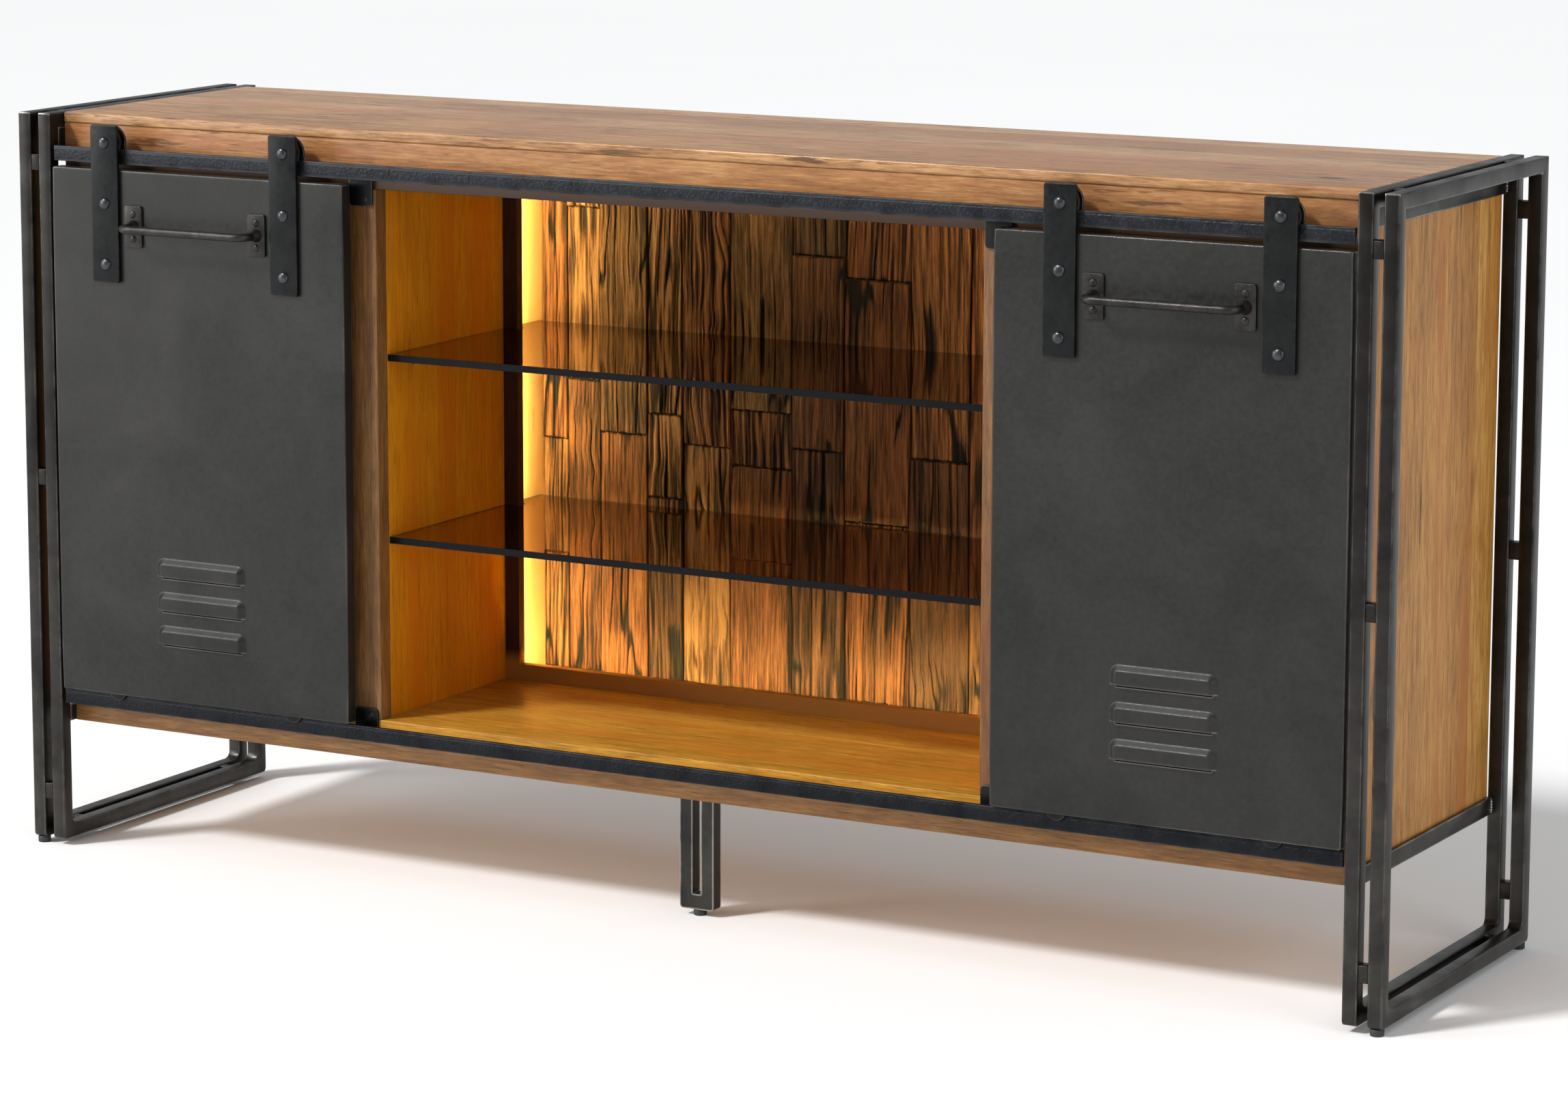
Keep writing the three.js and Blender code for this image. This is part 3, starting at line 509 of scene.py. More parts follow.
def smoked_glass():
    """Brown smoked glass with a dark polished edge all round."""
    f = Finish("smoked glass", IOR=1.4)
    f.shader.inputs["Specular IOR Level"].default_value = 0.12
    film = f.noise(f.place(), 30.0, 3.0)
    facing = f.put("NewGeometry").outputs["Normal"]
    lift = f.math("ABSOLUTE", f.part(facing, "Z"))
    flat = f.span(lift, 0.2, 0.8)
    smoke = f.ramp(film, [(0.3, (0.34, 0.22, 0.13)), (0.7, (0.38, 0.25, 0.15))])
    f.show("Base Color", f.mix(flat, (0.005, 0.0055, 0.0065), smoke))
    f.show("Transmission Weight", flat)
    f.show("Roughness", f.span(lift, 0.2, 0.8, 0.4, 0.02))
    return f.material


def light_diffuser(name, strength):
    """Warm diffuser, its tone drifting a little along its length."""
    f = Finish(name, Roughness=0.5)
    drift = f.noise(f.place(), 60.0, 2.0)
    f.show("Base Color", f.ramp(drift, [(0.3, (1.0, 0.75, 0.4)), (0.7, (1.0, 0.8, 0.5))]))
    f.show("Emission Color", f.ramp(drift, [(0.3, (1.0, 0.76, 0.26)), (0.7, (1.0, 0.82, 0.32))]))
    f.shader.inputs["Emission Strength"].default_value = strength
    return f.material


def moulded_plastic():
    """Black plastic with a fine even grain."""
    f = Finish("black foot plastic")
    grain = f.noise(f.place(), 900.0, 3.0)
    f.show("Base Color", f.ramp(grain, [(0.3, (0.012, 0.012, 0.012)), (0.7, (0.03, 0.03, 0.03))]))
    f.show("Roughness", f.span(grain, 0.3, 0.7, 0.5, 0.65))
    f.bump(grain, 0.3, 0.3 * MM)
    return f.material


def pin_brass():
    """Polished brass, a little hazy."""
    f = Finish("shelf pin brass", Metallic=1.0)
    haze = f.noise(f.place(), 400.0, 3.0)
    f.show("Base Color", f.ramp(haze, [(0.3, (0.5, 0.3, 0.1)), (0.7, (0.75, 0.5, 0.2))]))
    f.show("Roughness", f.span(haze, 0.3, 0.7, 0.2, 0.35))
    return f.material


FRAME_TONES = ((0.013, 0.0125, 0.012), (0.034, 0.032, 0.029))
FRAME_STEEL = lacquered_steel(
    "frame steel", *FRAME_TONES, (0.5, 0.48, 0.44), 0.34, 0.9, mottle=22.0, reach=3.8 * MM,
    brush=(0.1, 0.1, 0.03), onset=(0.04, 0.2), lighter_near_floor=1.9)
SPACER_STEEL = lacquered_steel(
    "spacer steel", *FRAME_TONES, (0.3, 0.29, 0.27), 0.36, 0.9, mottle=22.0, reach=0.8 * MM, wear_and_highlight=0.3,
    lighter_near_floor=1.5)
DOOR_STEEL = lacquered_steel(
    "door steel", (0.022, 0.022, 0.021), (0.042, 0.041, 0.039), (0.42, 0.4, 0.36), 0.42, 0.75, mottle=6.0,
    reach=3.0 * MM, onset=(0.02, 0.14), mask="rub_and_highlight")
DARK_STEEL = lacquered_steel(
    "blackened steel", (0.004, 0.0045, 0.005), (0.013, 0.0135, 0.014), (0.34, 0.34, 0.34), 0.36, 0.7,
    mottle=40.0, reach=1.4 * MM, wear_and_highlight=0.9, onset=(0.02, 0.16))
BOLT_STEEL = lacquered_steel(
    "bolt steel", (0.03, 0.03, 0.032), (0.09, 0.09, 0.095), (0.5, 0.5, 0.5), 0.3, 0.9, mottle=90.0,
    reach=0.8 * MM, wear_and_highlight=0.5)
HANDLE_STEEL = lacquered_steel(
    "handle steel", (0.02, 0.019, 0.018), (0.06, 0.056, 0.052), (0.34, 0.32, 0.29), 0.4, 0.9, mottle=50.0,
    reach=0.8 * MM, wear_and_highlight=0.35)
# Painted shade: the lower track is a darker copy of the track steel, standing for the shade under the doors.
SHADED_LOWER_TRACK_STEEL = hammered_steel(
    "lower track steel", LOWER_TRACK_MIDDLE, (0.007, 0.008, 0.01), (0.022, 0.023, 0.026))
TRACK_STEEL = hammered_steel(
    "hammered track steel", TRACK_MIDDLE, (0.016, 0.018, 0.021), (0.042, 0.045, 0.05))
TOP_WOOD = grained_wood(
    "lacquered top wood", "X", ((0.17, 0.07, 0.022), (0.46, 0.24, 0.098), (0.72, 0.45, 0.22)), 0.24, face="Z",
    plank=0.082, knots=0.9, seed=1.7)
# Painted shade: the apron goes dark below the upper track, where the track and doors shade it.
APRON_WOOD = grained_wood(
    "apron wood", "X", ((0.14, 0.047, 0.012), (0.34, 0.145, 0.045), (0.54, 0.3, 0.12)), 0.38, face="Y",
    knots=0.8, seed=4.1, painted_light_band=("Z", TRACK_MIDDLE - 4 * MM, TRACK_MIDDLE - 8 * MM, (0.05, 0.022, 0.008)))
RAIL_WOOD = grained_wood(
    "rail wood", "X", ((0.09, 0.032, 0.007), (0.24, 0.105, 0.027), (0.39, 0.2, 0.066)), 0.38, face="Y",
    knots=0.6, seed=6.3)
SIDE_WOOD = grained_wood(
    "side panel wood", "Z", ((0.13, 0.045, 0.007), (0.41, 0.185, 0.036), (0.66, 0.38, 0.095)), 0.4,
    plank=0.075, knots=1.0, seed=2.9, sheen=0.3, even=0.17)
STILE_WOOD = grained_wood(
    "stile wood", "Z", ((0.07, 0.025, 0.005), (0.18, 0.08, 0.022), (0.31, 0.155, 0.052)), 0.38, face="Y")
# Painted light: the bay wood turns pale just behind the light frame, where the LED strips light it most.
BAY_WOOD = grained_wood(
    "bay wood", "Z", ((0.26, 0.075, 0.002), (0.56, 0.205, 0.005), (0.78, 0.34, 0.014)), 0.4, plank=0.09,
    knots=0.3, seed=5.2, sheen=0.2, even=0.25,
    painted_light_band=("Y", LIGHT_FRAME_BACK - 5 * MM, LIGHT_FRAME_BACK + 25 * MM, (0.72, 0.42, 0.17)))
FLOOR_WOOD = grained_wood(
    "bottom board wood", "X", ((0.25, 0.1, 0.01), (0.55, 0.26, 0.03), (0.73, 0.4, 0.062)), 0.32, face="Z",
    plank=0.09, knots=0.6, seed=3.3, sheen=0.25)
SHELF_WOOD = grained_wood(
    "bay shelf wood", "X", ((0.14, 0.05, 0.012), (0.36, 0.17, 0.05), (0.56, 0.32, 0.12)), 0.36, face="Z",
    plank=0.09, knots=0.5, seed=7.7, sheen=0.3)
# Painted light: the dark frame turns amber near its foot, where the lower light strip lights it.
STAINED_WOOD = grained_wood(
    "dark stained wood", "Z", ((0.012, 0.004, 0.001), (0.035, 0.011, 0.003), (0.06, 0.02, 0.006)), 0.5,
    face="Y", sheen=0.2,
    painted_light_band=("Z", LIGHT_FRAME_FOOT + 40 * MM, LIGHT_FRAME_FOOT + 18 * MM, (0.34, 0.14, 0.02)))
PLY_WOOD = grained_wood(
    "back panel wood", "Z", ((0.3, 0.19, 0.09), (0.42, 0.29, 0.16), (0.52, 0.38, 0.23)), 0.5, face="Y")
BLOCK_WOOD = weathered_block_wood()
GLASS = smoked_glass()
LIGHT_STRENGTH = 165.0
DIFFUSER = light_diffuser("warm light diffuser", LIGHT_STRENGTH)
DIM_DIFFUSER = light_diffuser("dimmer upper light diffuser", 0.15 * LIGHT_STRENGTH)
LOW_DIFFUSER = light_diffuser("lower light diffuser", 0.75 * LIGHT_STRENGTH)
PLASTIC = moulded_plastic()
BRASS = pin_brass()

# ---- end frames

LOOP_CORNER = 5 * MM
SPACER_HEIGHT = 19.5 * MM
SPACER_LEVELS = (0.0665, 0.457, 0.8405)
SPACER_RECESS = 1 * MM
RAIL_SPACER = (52 * MM, 12 * MM)
BAR_EDGE = 0.6 * MM
BEAD_INSET = 0.8 * MM
BEAD_RADIUS = 2.4 * MM


def loop_outline(lo, hi, bottom_corner):
    """Closed line round a loop in Y and Z: square at the top, with quarter circles at the bottom."""
    size = hi - lo
    corners = (bottom_corner, 1e-4, 1e-4, bottom_corner)
    line = rounded_rectangle(size[1], size[2], corners)(0)
    return line + (lo + hi)[1:] / 2


def welded_loop(name, lo, hi, node):
    """A square tube bent round a rectangle: each section point lies between the outer and the inner line."""
    outer = loop_outline(lo, hi, LOOP_CORNER)
    inset = np.array([0, TUBE, TUBE])
    inner = loop_outline(lo + inset, hi - inset, FILLET)
    section = rounded_rectangle(1, 1, TUBE_ROUND / TUBE, 3)(0) + 0.5
    across, through = section[:, 0], section[:, 1]
    line = outer[:, None, :] * (1 - across)[None, :, None] + inner[:, None, :] * across[None, :, None]
    depth = np.broadcast_to(lo[0] + through * TUBE, line.shape[:2])
    points = np.concatenate([depth[..., None], line], axis=-1)
    faces = ring_faces(*points.shape[:2], wrap_rings=True)
    object_from(name, points, faces, FRAME_STEEL, replaced=[node])


def end_frame(side, sign):
    """Two loops held apart by short spacers, with flat bars under and over the side panel."""
    outer, inner = f"{side}_outer_loop", f"{side}_inner_loop"
    lo, hi = low(outer), high(outer)
    outer_lo, outer_hi = lo.copy(), hi.copy()
    if sign < 0:
        outer_hi[0] = lo[0] + TUBE
        gap = (outer_hi[0], low(inner)[0])
    else:
        outer_lo[0] = hi[0] - TUBE
        gap = (high(inner)[0], outer_lo[0])
    welded_loop(f"{side} outer loop", outer_lo, outer_hi, outer)
    welded_loop(f"{side} inner loop", low(inner), high(inner), inner)
    places = []
    for y in (outer_lo[1], outer_hi[1] - TUBE):
        for level in SPACER_LEVELS:
            places.append(((y + SPACER_RECESS, level - SPACER_HEIGHT / 2),
                           (y + TUBE - SPACER_RECESS, level + SPACER_HEIGHT / 2)))
    start, length = RAIL_SPACER
    for y in (outer_lo[1] + start, outer_hi[1] - start - length):
        for z in (outer_lo[2], outer_hi[2] - TUBE):
            places.append(((y, z + SPACER_RECESS), (y + length, z + TUBE - SPACER_RECESS)))
    for number, (first, last) in enumerate(places):
        board(f"{side} spacer {number + 1}", (gap[0], *first), (gap[1], *last), 1 * MM, SPACER_STEEL)
    boards_for([f"{side}_{level}_side_bar" for level in ("lower", "upper")], BAR_EDGE, FRAME_STEEL)


def weld_bead(name, start, stop):
    """A run of weld metal: a round section along a line, rippling and closing to a point at both ends."""
    start, stop = np.asarray(start, float), np.asarray(stop, float)
    t = np.linspace(0, 1, 25)
    ripple = 1 + 0.16 * np.sin(t * 38)
    size = BEAD_RADIUS * ripple * np.sqrt(np.maximum(1 - (2 * t - 1) ** 6, 1e-4))
    along = (stop - start) / np.linalg.norm(stop - start)
    right = np.array([1.0, 0.0, 0.0])
    turn = circle(12)
    ring = turn[:, :1] * np.cross(along, right) + turn[:, 1:] * right
    points = start + t[:, None, None] * (stop - start) + size[:, None, None] * ring[None, :, :]
    object_from(name, points, ring_faces(*points.shape[:2]), FRAME_STEEL)


def bar_welds(side, sign):
    """Beads where the flat bars meet the uprights of the inner loop."""
    for bar in ("lower_side_bar", "upper_side_bar"):
        lo, hi = low(f"{side}_{bar}"), high(f"{side}_{bar}")
        x = (hi[0] if sign > 0 else lo[0]) - sign * BAR_EDGE
        for end, y in (("front", lo[1] + BEAD_INSET), ("back", hi[1] - BEAD_INSET)):
            weld_bead(f"{side} {bar} {end} weld", (x, y, lo[2] + 1 * MM), (x, y, hi[2] - 1 * MM))


for side, sign in SIDES.items():
    end_frame(side, sign)
    bar_welds(side, sign)

# ---- carcass

boards_for(["top_board"], 2.2 * MM, TOP_WOOD)
boards_for(["front_apron"], 0.8 * MM, APRON_WOOD)
boards_for(["bottom_front_rail"], 1.0 * MM, RAIL_WOOD)
boards_for(["bottom_board"], BOARD_ROUND, FLOOR_WOOD)
for kind, edge, material in (("stile", 1.5 * MM, STILE_WOOD), ("divider", 0.5 * MM, BAY_WOOD),
                             ("bay_shelf", BOARD_ROUND, SHELF_WOOD), ("back_panel", 0.3 * MM, PLY_WOOD)):
    boards_for([f"{side}_{kind}" for side in SIDES], edge, material)


def finish_node(node, material):
    """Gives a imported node, whose shape is already right, its finish."""
    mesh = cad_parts[node].data
    mesh.materials.clear()
    mesh.materials.append(material)


SHELVES = ("upper_glass_shelf", "lower_glass_shelf")
for side in SIDES:
    finish_node(f"{side}_side_panel", SIDE_WOOD)
    finish_node(f"{side}_light_strip", DIFFUSER)
for shelf in SHELVES:
    finish_node(shelf, GLASS)
finish_node("light_frame", STAINED_WOOD)
finish_node("upper_light_strip", DIM_DIFFUSER)
finish_node("lower_light_strip", LOW_DIFFUSER)
finish_node("middle_leg", FRAME_STEEL)

# ---- block wall

RIDGE = 1.3 * MM
BLOCK_STEP = (0.85 * MM, 3.4 * MM)
BLOCK_STAND = (0.3 * MM, 6.5 * MM)
MOST_PROUD = 9.5 * MM
JOINT = 1.1 * MM
JOINT_DEPTH = 2.6 * MM
BACKING_DEPTH = 6 * MM
BLOCK_SEED = 12
# each column: its width in mm, and the heights where its blocks end as parts of the panel's height
BLOCK_COLUMNS = (
    (39, (0.42,)), (51, (0.53, 0.84)), (72, (0.44,)), (52, (0.33, 0.48)), (71, (0.43,)), (92, (0.4, 0.5)),
    (76, (0.44, 0.78)), (94, (0.32, 0.745)), (86, (0.24, 0.44)), (66, (0.3, 0.62)), (80, (0.5,)),
    (68, (0.36, 0.8)),
)


def thin_lines(across, along, spacing, run, width, seed):
    """1 on thin wandering lines, where a slow field crosses zero, fading out over `width`."""
    field = lattice_noise(across, along, spacing, run, seed)
    return np.exp(-((field / width) ** 2))


def block_face(x, z, seed, rng):
    """Height of a weathered block, mostly from -1 to 1. A slow field bends the grain by an amount of the
    block's own, so some are straight and some swirl. On the bent coordinate lie fine and coarse ridges and
    thin splits, and a slow swell is added."""
    lean = rng.uniform(-0.05, 0.05)
    vigour, fibre = rng.uniform(0.25, 1.25), rng.uniform(1.6, 2.8) * MM
    gnarl = rng.choice([0.6, 1.2, 2.5, 6.0]) * MM
    slow, quick = lattice_noise(x, z, 0.034, 0.055, seed), lattice_noise(x, z, 0.015, 0.025, seed + 8)
    bend = gnarl * (slow + 0.4 * quick)
    across = x + lean * z + bend
    fine = lattice_noise(across, z, fibre, 0.07, seed + 5)
    coarse = lattice_noise(across, z, 4.2 * MM, 0.09, seed + 2)
    present = np.clip(lattice_noise(x, z, 0.035, 0.08, seed + 6) * 3 + 0.4, 0, 1)
    splits = thin_lines(across, z, 11 * MM, 0.16, 0.09, seed + 3) * present
    worn = lattice_noise(x, z, 24 * MM, 0.045, seed + 4)
    return 0.1 + vigour * (0.85 * fine + 0.3 * coarse) - 1.6 * splits + (0.15 + 0.09 * gnarl / MM) * worn


def stepped(start, stop, step):
    """Even steps with two close ones at each end, so that a joint stays narrow."""
    count = max(int(round((stop - start) / step)), 5)
    margin = np.array([0.1, 0.9, 1.8]) * MM
    inner = np.linspace(start + 2.5 * MM, stop - 2.5 * MM, count)
    return np.concatenate([start + margin, inner, stop - margin[::-1]])


def block_column(number, x0, x1, cuts, face, back, rng):
    """One column of stacked blocks as a closed relief: a grid of heights, then straight back."""
    x = stepped(x0, x1, BLOCK_STEP[0])
    rows_z, rows_y, rows_tone, rows_rise = [], [], [], []
    for k, (bottom, top) in enumerate(zip(cuts[:-1], cuts[1:])):
        z = stepped(bottom, top, BLOCK_STEP[1])
        grid_x, grid_z = np.meshgrid(x, z)
        height = block_face(grid_x, grid_z, number * 100 + k * 7, rng)
        ragged = 1.0 * MM * lattice_noise(grid_x, grid_z, 5 * MM, 0.05, number + k)
        edges = [grid_x - x0, x1 - grid_x, grid_z - bottom + ragged, top - grid_z + ragged]
        border = np.minimum.reduce(edges)
        fall = np.clip(1 - border / (1.6 * JOINT), 0, 1)
        tilt = rng.uniform(-1, 1) * 1.5 * MM * (grid_z - bottom) / (top - bottom)
        stand = rng.uniform(*BLOCK_STAND) + tilt
        rows_z.append(z)
        rows_y.append(face - stand - RIDGE * height + JOINT_DEPTH * fall)
        rows_tone.append(np.full(grid_x.shape, rng.uniform(0, 1)))
        rows_rise.append(np.clip(0.55 + 0.4 * height - 0.4 * fall, 0, 1))
    z = np.concatenate(rows_z)
    y = np.clip(np.concatenate(rows_y), face - MOST_PROUD, back - 1 * MM)
    grid_x, grid_z = np.meshgrid(np.pad(x, 1, mode="edge"), np.pad(z, 1, mode="edge"))
    points = np.stack([grid_x, np.pad(y, 1, constant_values=back), grid_z], axis=-1)
    rows, cols = grid_x.shape
    faces = grid_faces(rows, cols) + [grid_rim(rows, cols)[::-1]]
    tones = {"tone": np.pad(np.concatenate(rows_tone), 1, mode="edge"),
             "rise": np.pad(np.concatenate(rows_rise), 1, mode="edge")}
    object_from(f"block column {number}", points, faces, BLOCK_WOOD, tone=tones)


def block_wall():
    """Columns of uneven width side by side across the middle bay."""
    lo, hi = low("mosaic_back_panel"), high("mosaic_back_panel")
    rng = np.random.default_rng(BLOCK_SEED)
    widths = np.array([width for width, _ in BLOCK_COLUMNS]) * MM
    widths *= (hi[0] - lo[0]) / widths.sum()
    edges = lo[0] + np.concatenate([[0], np.cumsum(widths)])
    back = lo[1] + BACKING_DEPTH
    for number, (_, heights) in enumerate(BLOCK_COLUMNS):
        cuts = lo[2] + (hi[2] - lo[2]) * np.array([0.0, *heights, 1.0])
        x0, x1 = edges[number:number + 2]
        block_column(number + 1, x0, x1, cuts, lo[1], back, rng)
    board("block wall backing", (lo[0], back, lo[2]), hi, 0.3 * MM, PLY_WOOD, replaced=["mosaic_back_panel"])


block_wall()

# ---- tracks and brackets

TRACK_EDGE = 0.7 * MM
boards_for(["upper_track"], TRACK_EDGE, TRACK_STEEL)
boards_for(["lower_track"], TRACK_EDGE, SHADED_LOWER_TRACK_STEEL)

BRACKET = 3 * MM
BRACKET_CORNERS = (5 * MM, 0.5 * MM)
BRACKET_SCREW = (7 * MM, 8 * MM)


def track_bracket(side, level):
    """A plate screwed to the stile and a tongue that reaches the back of the track."""
    node = f"{side}_{level}_track_bracket"
    lo, hi = low(node), high(node)
    is_upper = level == "upper"
    free, held = BRACKET_CORNERS
    corners = (free, held, held, free) if is_upper else (held, free, free, held)
    outline = rounded_rectangle(hi[0] - lo[0], hi[2] - lo[2], corners)
    centre = middle(node)[[0, 2]]
    name = f"{side} {level} bracket"
    plate(f"{name} plate", outline, "Y", centre, hi[1] - BRACKET, BRACKET, held, DARK_STEEL, replaced=[node])
    z = hi[2] - BRACKET if is_upper else lo[2]
    board(f"{name} tongue", (lo[0], lo[1], z), (hi[0], hi[1] - BRACKET / 2, z + BRACKET), held, DARK_STEEL)
    aside, rise = BRACKET_SCREW
    screw = (centre[0] + aside, hi[1] - BRACKET, lo[2] + rise if is_upper else hi[2] - rise)
    turned(f"{name} screw", dome(*SCREW_HEAD), "Y", screw, HANDLE_STEEL, steps=20)


for side in SIDES:
    for level in ("upper", "lower"):
        track_bracket(side, level)

# ---- feet and shelf pins

FOOT_PAD = 7.7 * MM
FOOT_STEM = 3.9 * MM
PIN = {"radius": 2.5 * MM, "shank": 11 * MM, "length": 13 * MM, "setback": 35 * MM}


def levelling_foot(node):
    """A round pad with a softened rim on a short stem."""
    lo, hi = low(node), high(node)
    radius = (hi[0] - lo[0]) / 2
    height = hi[2] - lo[2]
    profile = [(0, 0), (radius * 0.86, 0), (radius * 0.97, 0.5 * MM), (radius, 1.5 * MM),
               (radius, FOOT_PAD - 1 * MM), (radius * 0.93, FOOT_PAD), (FOOT_STEM, FOOT_PAD),
               (FOOT_STEM, height), (0, height)]
    centre = middle(node)
    turned(node, profile, "Z", (centre[0], centre[1], lo[2]), PLASTIC, replaced=[node])


for node in [f"{side}_{end}_foot" for side in SIDES for end in ("front", "back")] + ["middle_foot"]:
    levelling_foot(node)


def shelf_pins(shelf):
    """Four short brass pins in the bay walls, just under the glass."""
    lo, hi = low(shelf), high(shelf)
    radius, shank, length = PIN["radius"], PIN["shank"], PIN["length"]
    rim = radius * 1.5
    profile = [(0, 0), (radius, 0), (radius, shank), (rim, shank), (rim, length), (0, length)]
    for side, sign in SIDES.items():
        wall = lo[0] if sign < 0 else hi[0]
        for end, y in (("front", lo[1] + PIN["setback"]), ("back", hi[1] - PIN["setback"])):
            points = profile if sign < 0 else [(r, -d) for r, d in profile]
            turned(f"{shelf} {side} {end} pin", points, "X", (wall, y, lo[2] - rim), BRASS, steps=16)


for shelf in SHELVES:
    shelf_pins(shelf)

# ---- doors

LOUVRE = {"half": 63 * MM, "height": 22 * MM, "proud": 6 * MM, "band": 6.5 * MM, "corner": 10 * MM,
          "slot": 2.8 * MM, "deep": 5 * MM}
LOUVRE_TOPS = (0.3735, 0.3325, 0.2915)
PANE_HALF = 80 * MM
PANE_HEIGHTS = (0.255, 0.39)
PANE_COLUMNS = 141
HOOD_ROWS = 30
HOOD_RUB_AND_HIGHLIGHT = 0.4
FOLD = 1.7 * MM
DOOR_CORNER = 4 * MM
DOOR_BACK_LIP = 14 * MM
DOOR_BACK_DEPTH = 8 * MM


def smooth_clamp(t, softness=0.07):
    """Rises from 0 at t = 0 to 1 at t = 1, with both creases rounded over `softness`."""
    return (np.sqrt(t * t + softness**2) - np.sqrt((t - 1) ** 2 + softness**2) + 1) / 2


def louvre_height(x, z, centre, top):
    """How proud the hood is: an even slope inside an outline with rounded upper corners, then a flat."""
    radius = LOUVRE["corner"]
    beyond_x = np.abs(x - centre) - (LOUVRE["half"] - radius)
    beyond_z = z - (top - radius)
    corner = np.hypot(np.maximum(beyond_x, 0), np.maximum(beyond_z, 0))
    inside = radius - np.where((beyond_x > 0) & (beyond_z > 0), corner, np.maximum(beyond_x, beyond_z))
    return LOUVRE["proud"] * smooth_clamp(inside / LOUVRE["band"])


def louvre_pane(centre):
    """Grid of x, z and stand-off over the three louvres: each hood ends in a lip over an open slot."""
    x = centre + np.linspace(-PANE_HALF, PANE_HALF, PANE_COLUMNS)
    lines_z, lines_y = [np.array([PANE_HEIGHTS[0]])], [np.zeros((1, len(x)))]
    tops = sorted(LOUVRE_TOPS)
    in_slot = np.abs(x - centre) < LOUVRE["half"] - LOUVRE["band"]
    slot = np.where(in_slot, -LOUVRE["deep"], 0.0)[None, :]
    for k, top in enumerate(tops):
        lip = top - LOUVRE["height"]
        ceiling = PANE_HEIGHTS[1]
        if k < len(tops) - 1:
            ceiling = tops[k + 1] - LOUVRE["height"] - LOUVRE["slot"] - 1 * MM
        z = np.concatenate([np.linspace(lip, top + 1.5 * MM, HOOD_ROWS), [ceiling]])
        hood = louvre_height(x[None, :], z[:, None], centre, top)
        hood[0] -= 0.5 * MM * (hood[0] > LOUVRE["proud"] * 0.5)
        hood[-2:] = 0
        edge = np.array([lip - LOUVRE["slot"]] * 2 + [lip])
        lines_z += [edge, z]
        lines_y += [np.zeros((1, len(x))), slot, slot, hood]
    grid_x, grid_z = np.meshgrid(x, np.concatenate(lines_z))
    return grid_x, grid_z, np.concatenate(lines_y)


def door_panel(side):
    """Pressed door: a grid of louvres in the front, rings out to the folded edge, and a sunk back."""
    node = f"{side}_door_panel"
    lo, hi = low(node), high(node)
    face = lo[1] + LOUVRE["proud"]
    centre = (lo[0] + hi[0]) / 2
    pane = np.array([[centre - PANE_HALF, PANE_HEIGHTS[0]], [centre + PANE_HALF, PANE_HEIGHTS[1]]])
    grid_x, grid_z, stand = louvre_pane(centre)
    grid = np.stack([grid_x, face - stand, grid_z], axis=-1)
    rows, cols = grid_x.shape
    faces = grid_faces(rows, cols)
    rim = grid_rim(rows, cols)
    rim_points = grid.reshape(-1, 3)[rim]
    rings = [rim_points]
    for inset, depth in door_section(hi[1] - face):
        rings.append(door_ring(rim_points, pane, lo, hi, inset, face + depth))
    points = np.concatenate([grid.reshape(-1, 3)] + rings)
    start = rows * cols
    faces += [[v + start for v in f] for f in ring_faces(len(rings), len(rim))[:-2]]
    last = start + (len(rings) - 1) * len(rim)
    faces.append(list(range(last, last + len(rim))))
    # how much of the bright edge colour, partly wear and partly painted highlight, each point takes: less on
    # the louvre grid
    rub_and_highlight = np.concatenate([np.full(rows * cols, HOOD_RUB_AND_HIGHLIGHT), np.ones(len(rings) * len(rim))])
    object_from(f"{side} door", points, faces, DOOR_STEEL, f"{side}_door", [node], tone={"rub_and_highlight": rub_and_highlight})


def door_section(depth):
    """(inset, depth) pairs from the flat front over the fold, back to the lip and down into the sunk back."""
    turn = quarter(5)
    front = [(FOLD * (1 - math.sin(t)), FOLD * (1 - math.cos(t))) for t in turn]
    back = [(FOLD * (1 - math.cos(t)) * 0.6, depth - FOLD * 0.6 * (1 - math.sin(t))) for t in turn]
    sunk = [(DOOR_BACK_LIP, depth), (DOOR_BACK_LIP, depth - DOOR_BACK_DEPTH)]
    return [(FOLD + 3 * MM, 0.0)] + front + back + sunk


def door_ring(rim, pane, lo, hi, inset, y):
    """The rim of the louvre pane stretched to the door's outline, with its corners drawn in to arcs."""
    share = (rim[:, [0, 2]] - pane[0]) / (pane[1] - pane[0])
    size_lo = np.array([lo[0], lo[2]]) + inset
    size_hi = np.array([hi[0], hi[2]]) - inset
    radius = max(DOOR_CORNER - inset, 0.05 * MM)
    flat = size_lo + share * (size_hi - size_lo)
    core = np.clip(flat, size_lo + radius, size_hi - radius)
    reach = flat - core
    length = np.maximum(np.linalg.norm(reach, axis=1), 1e-12)
    placed = core + reach / length[:, None] * np.minimum(length, radius)[:, None]
    return np.column_stack([placed[:, 0], np.full(len(rim), y), placed[:, 1]])


STRAP_STAND = 4 * MM
STRAP_THICK = 5 * MM
STRAP_CORNER = 3 * MM
STRAP_EDGE = 0.9 * MM
SHANK_RADIUS = 4 * MM
SHORT_SHANK = 6 * MM
NUT = (6.5 * MM, 3.5 * MM)


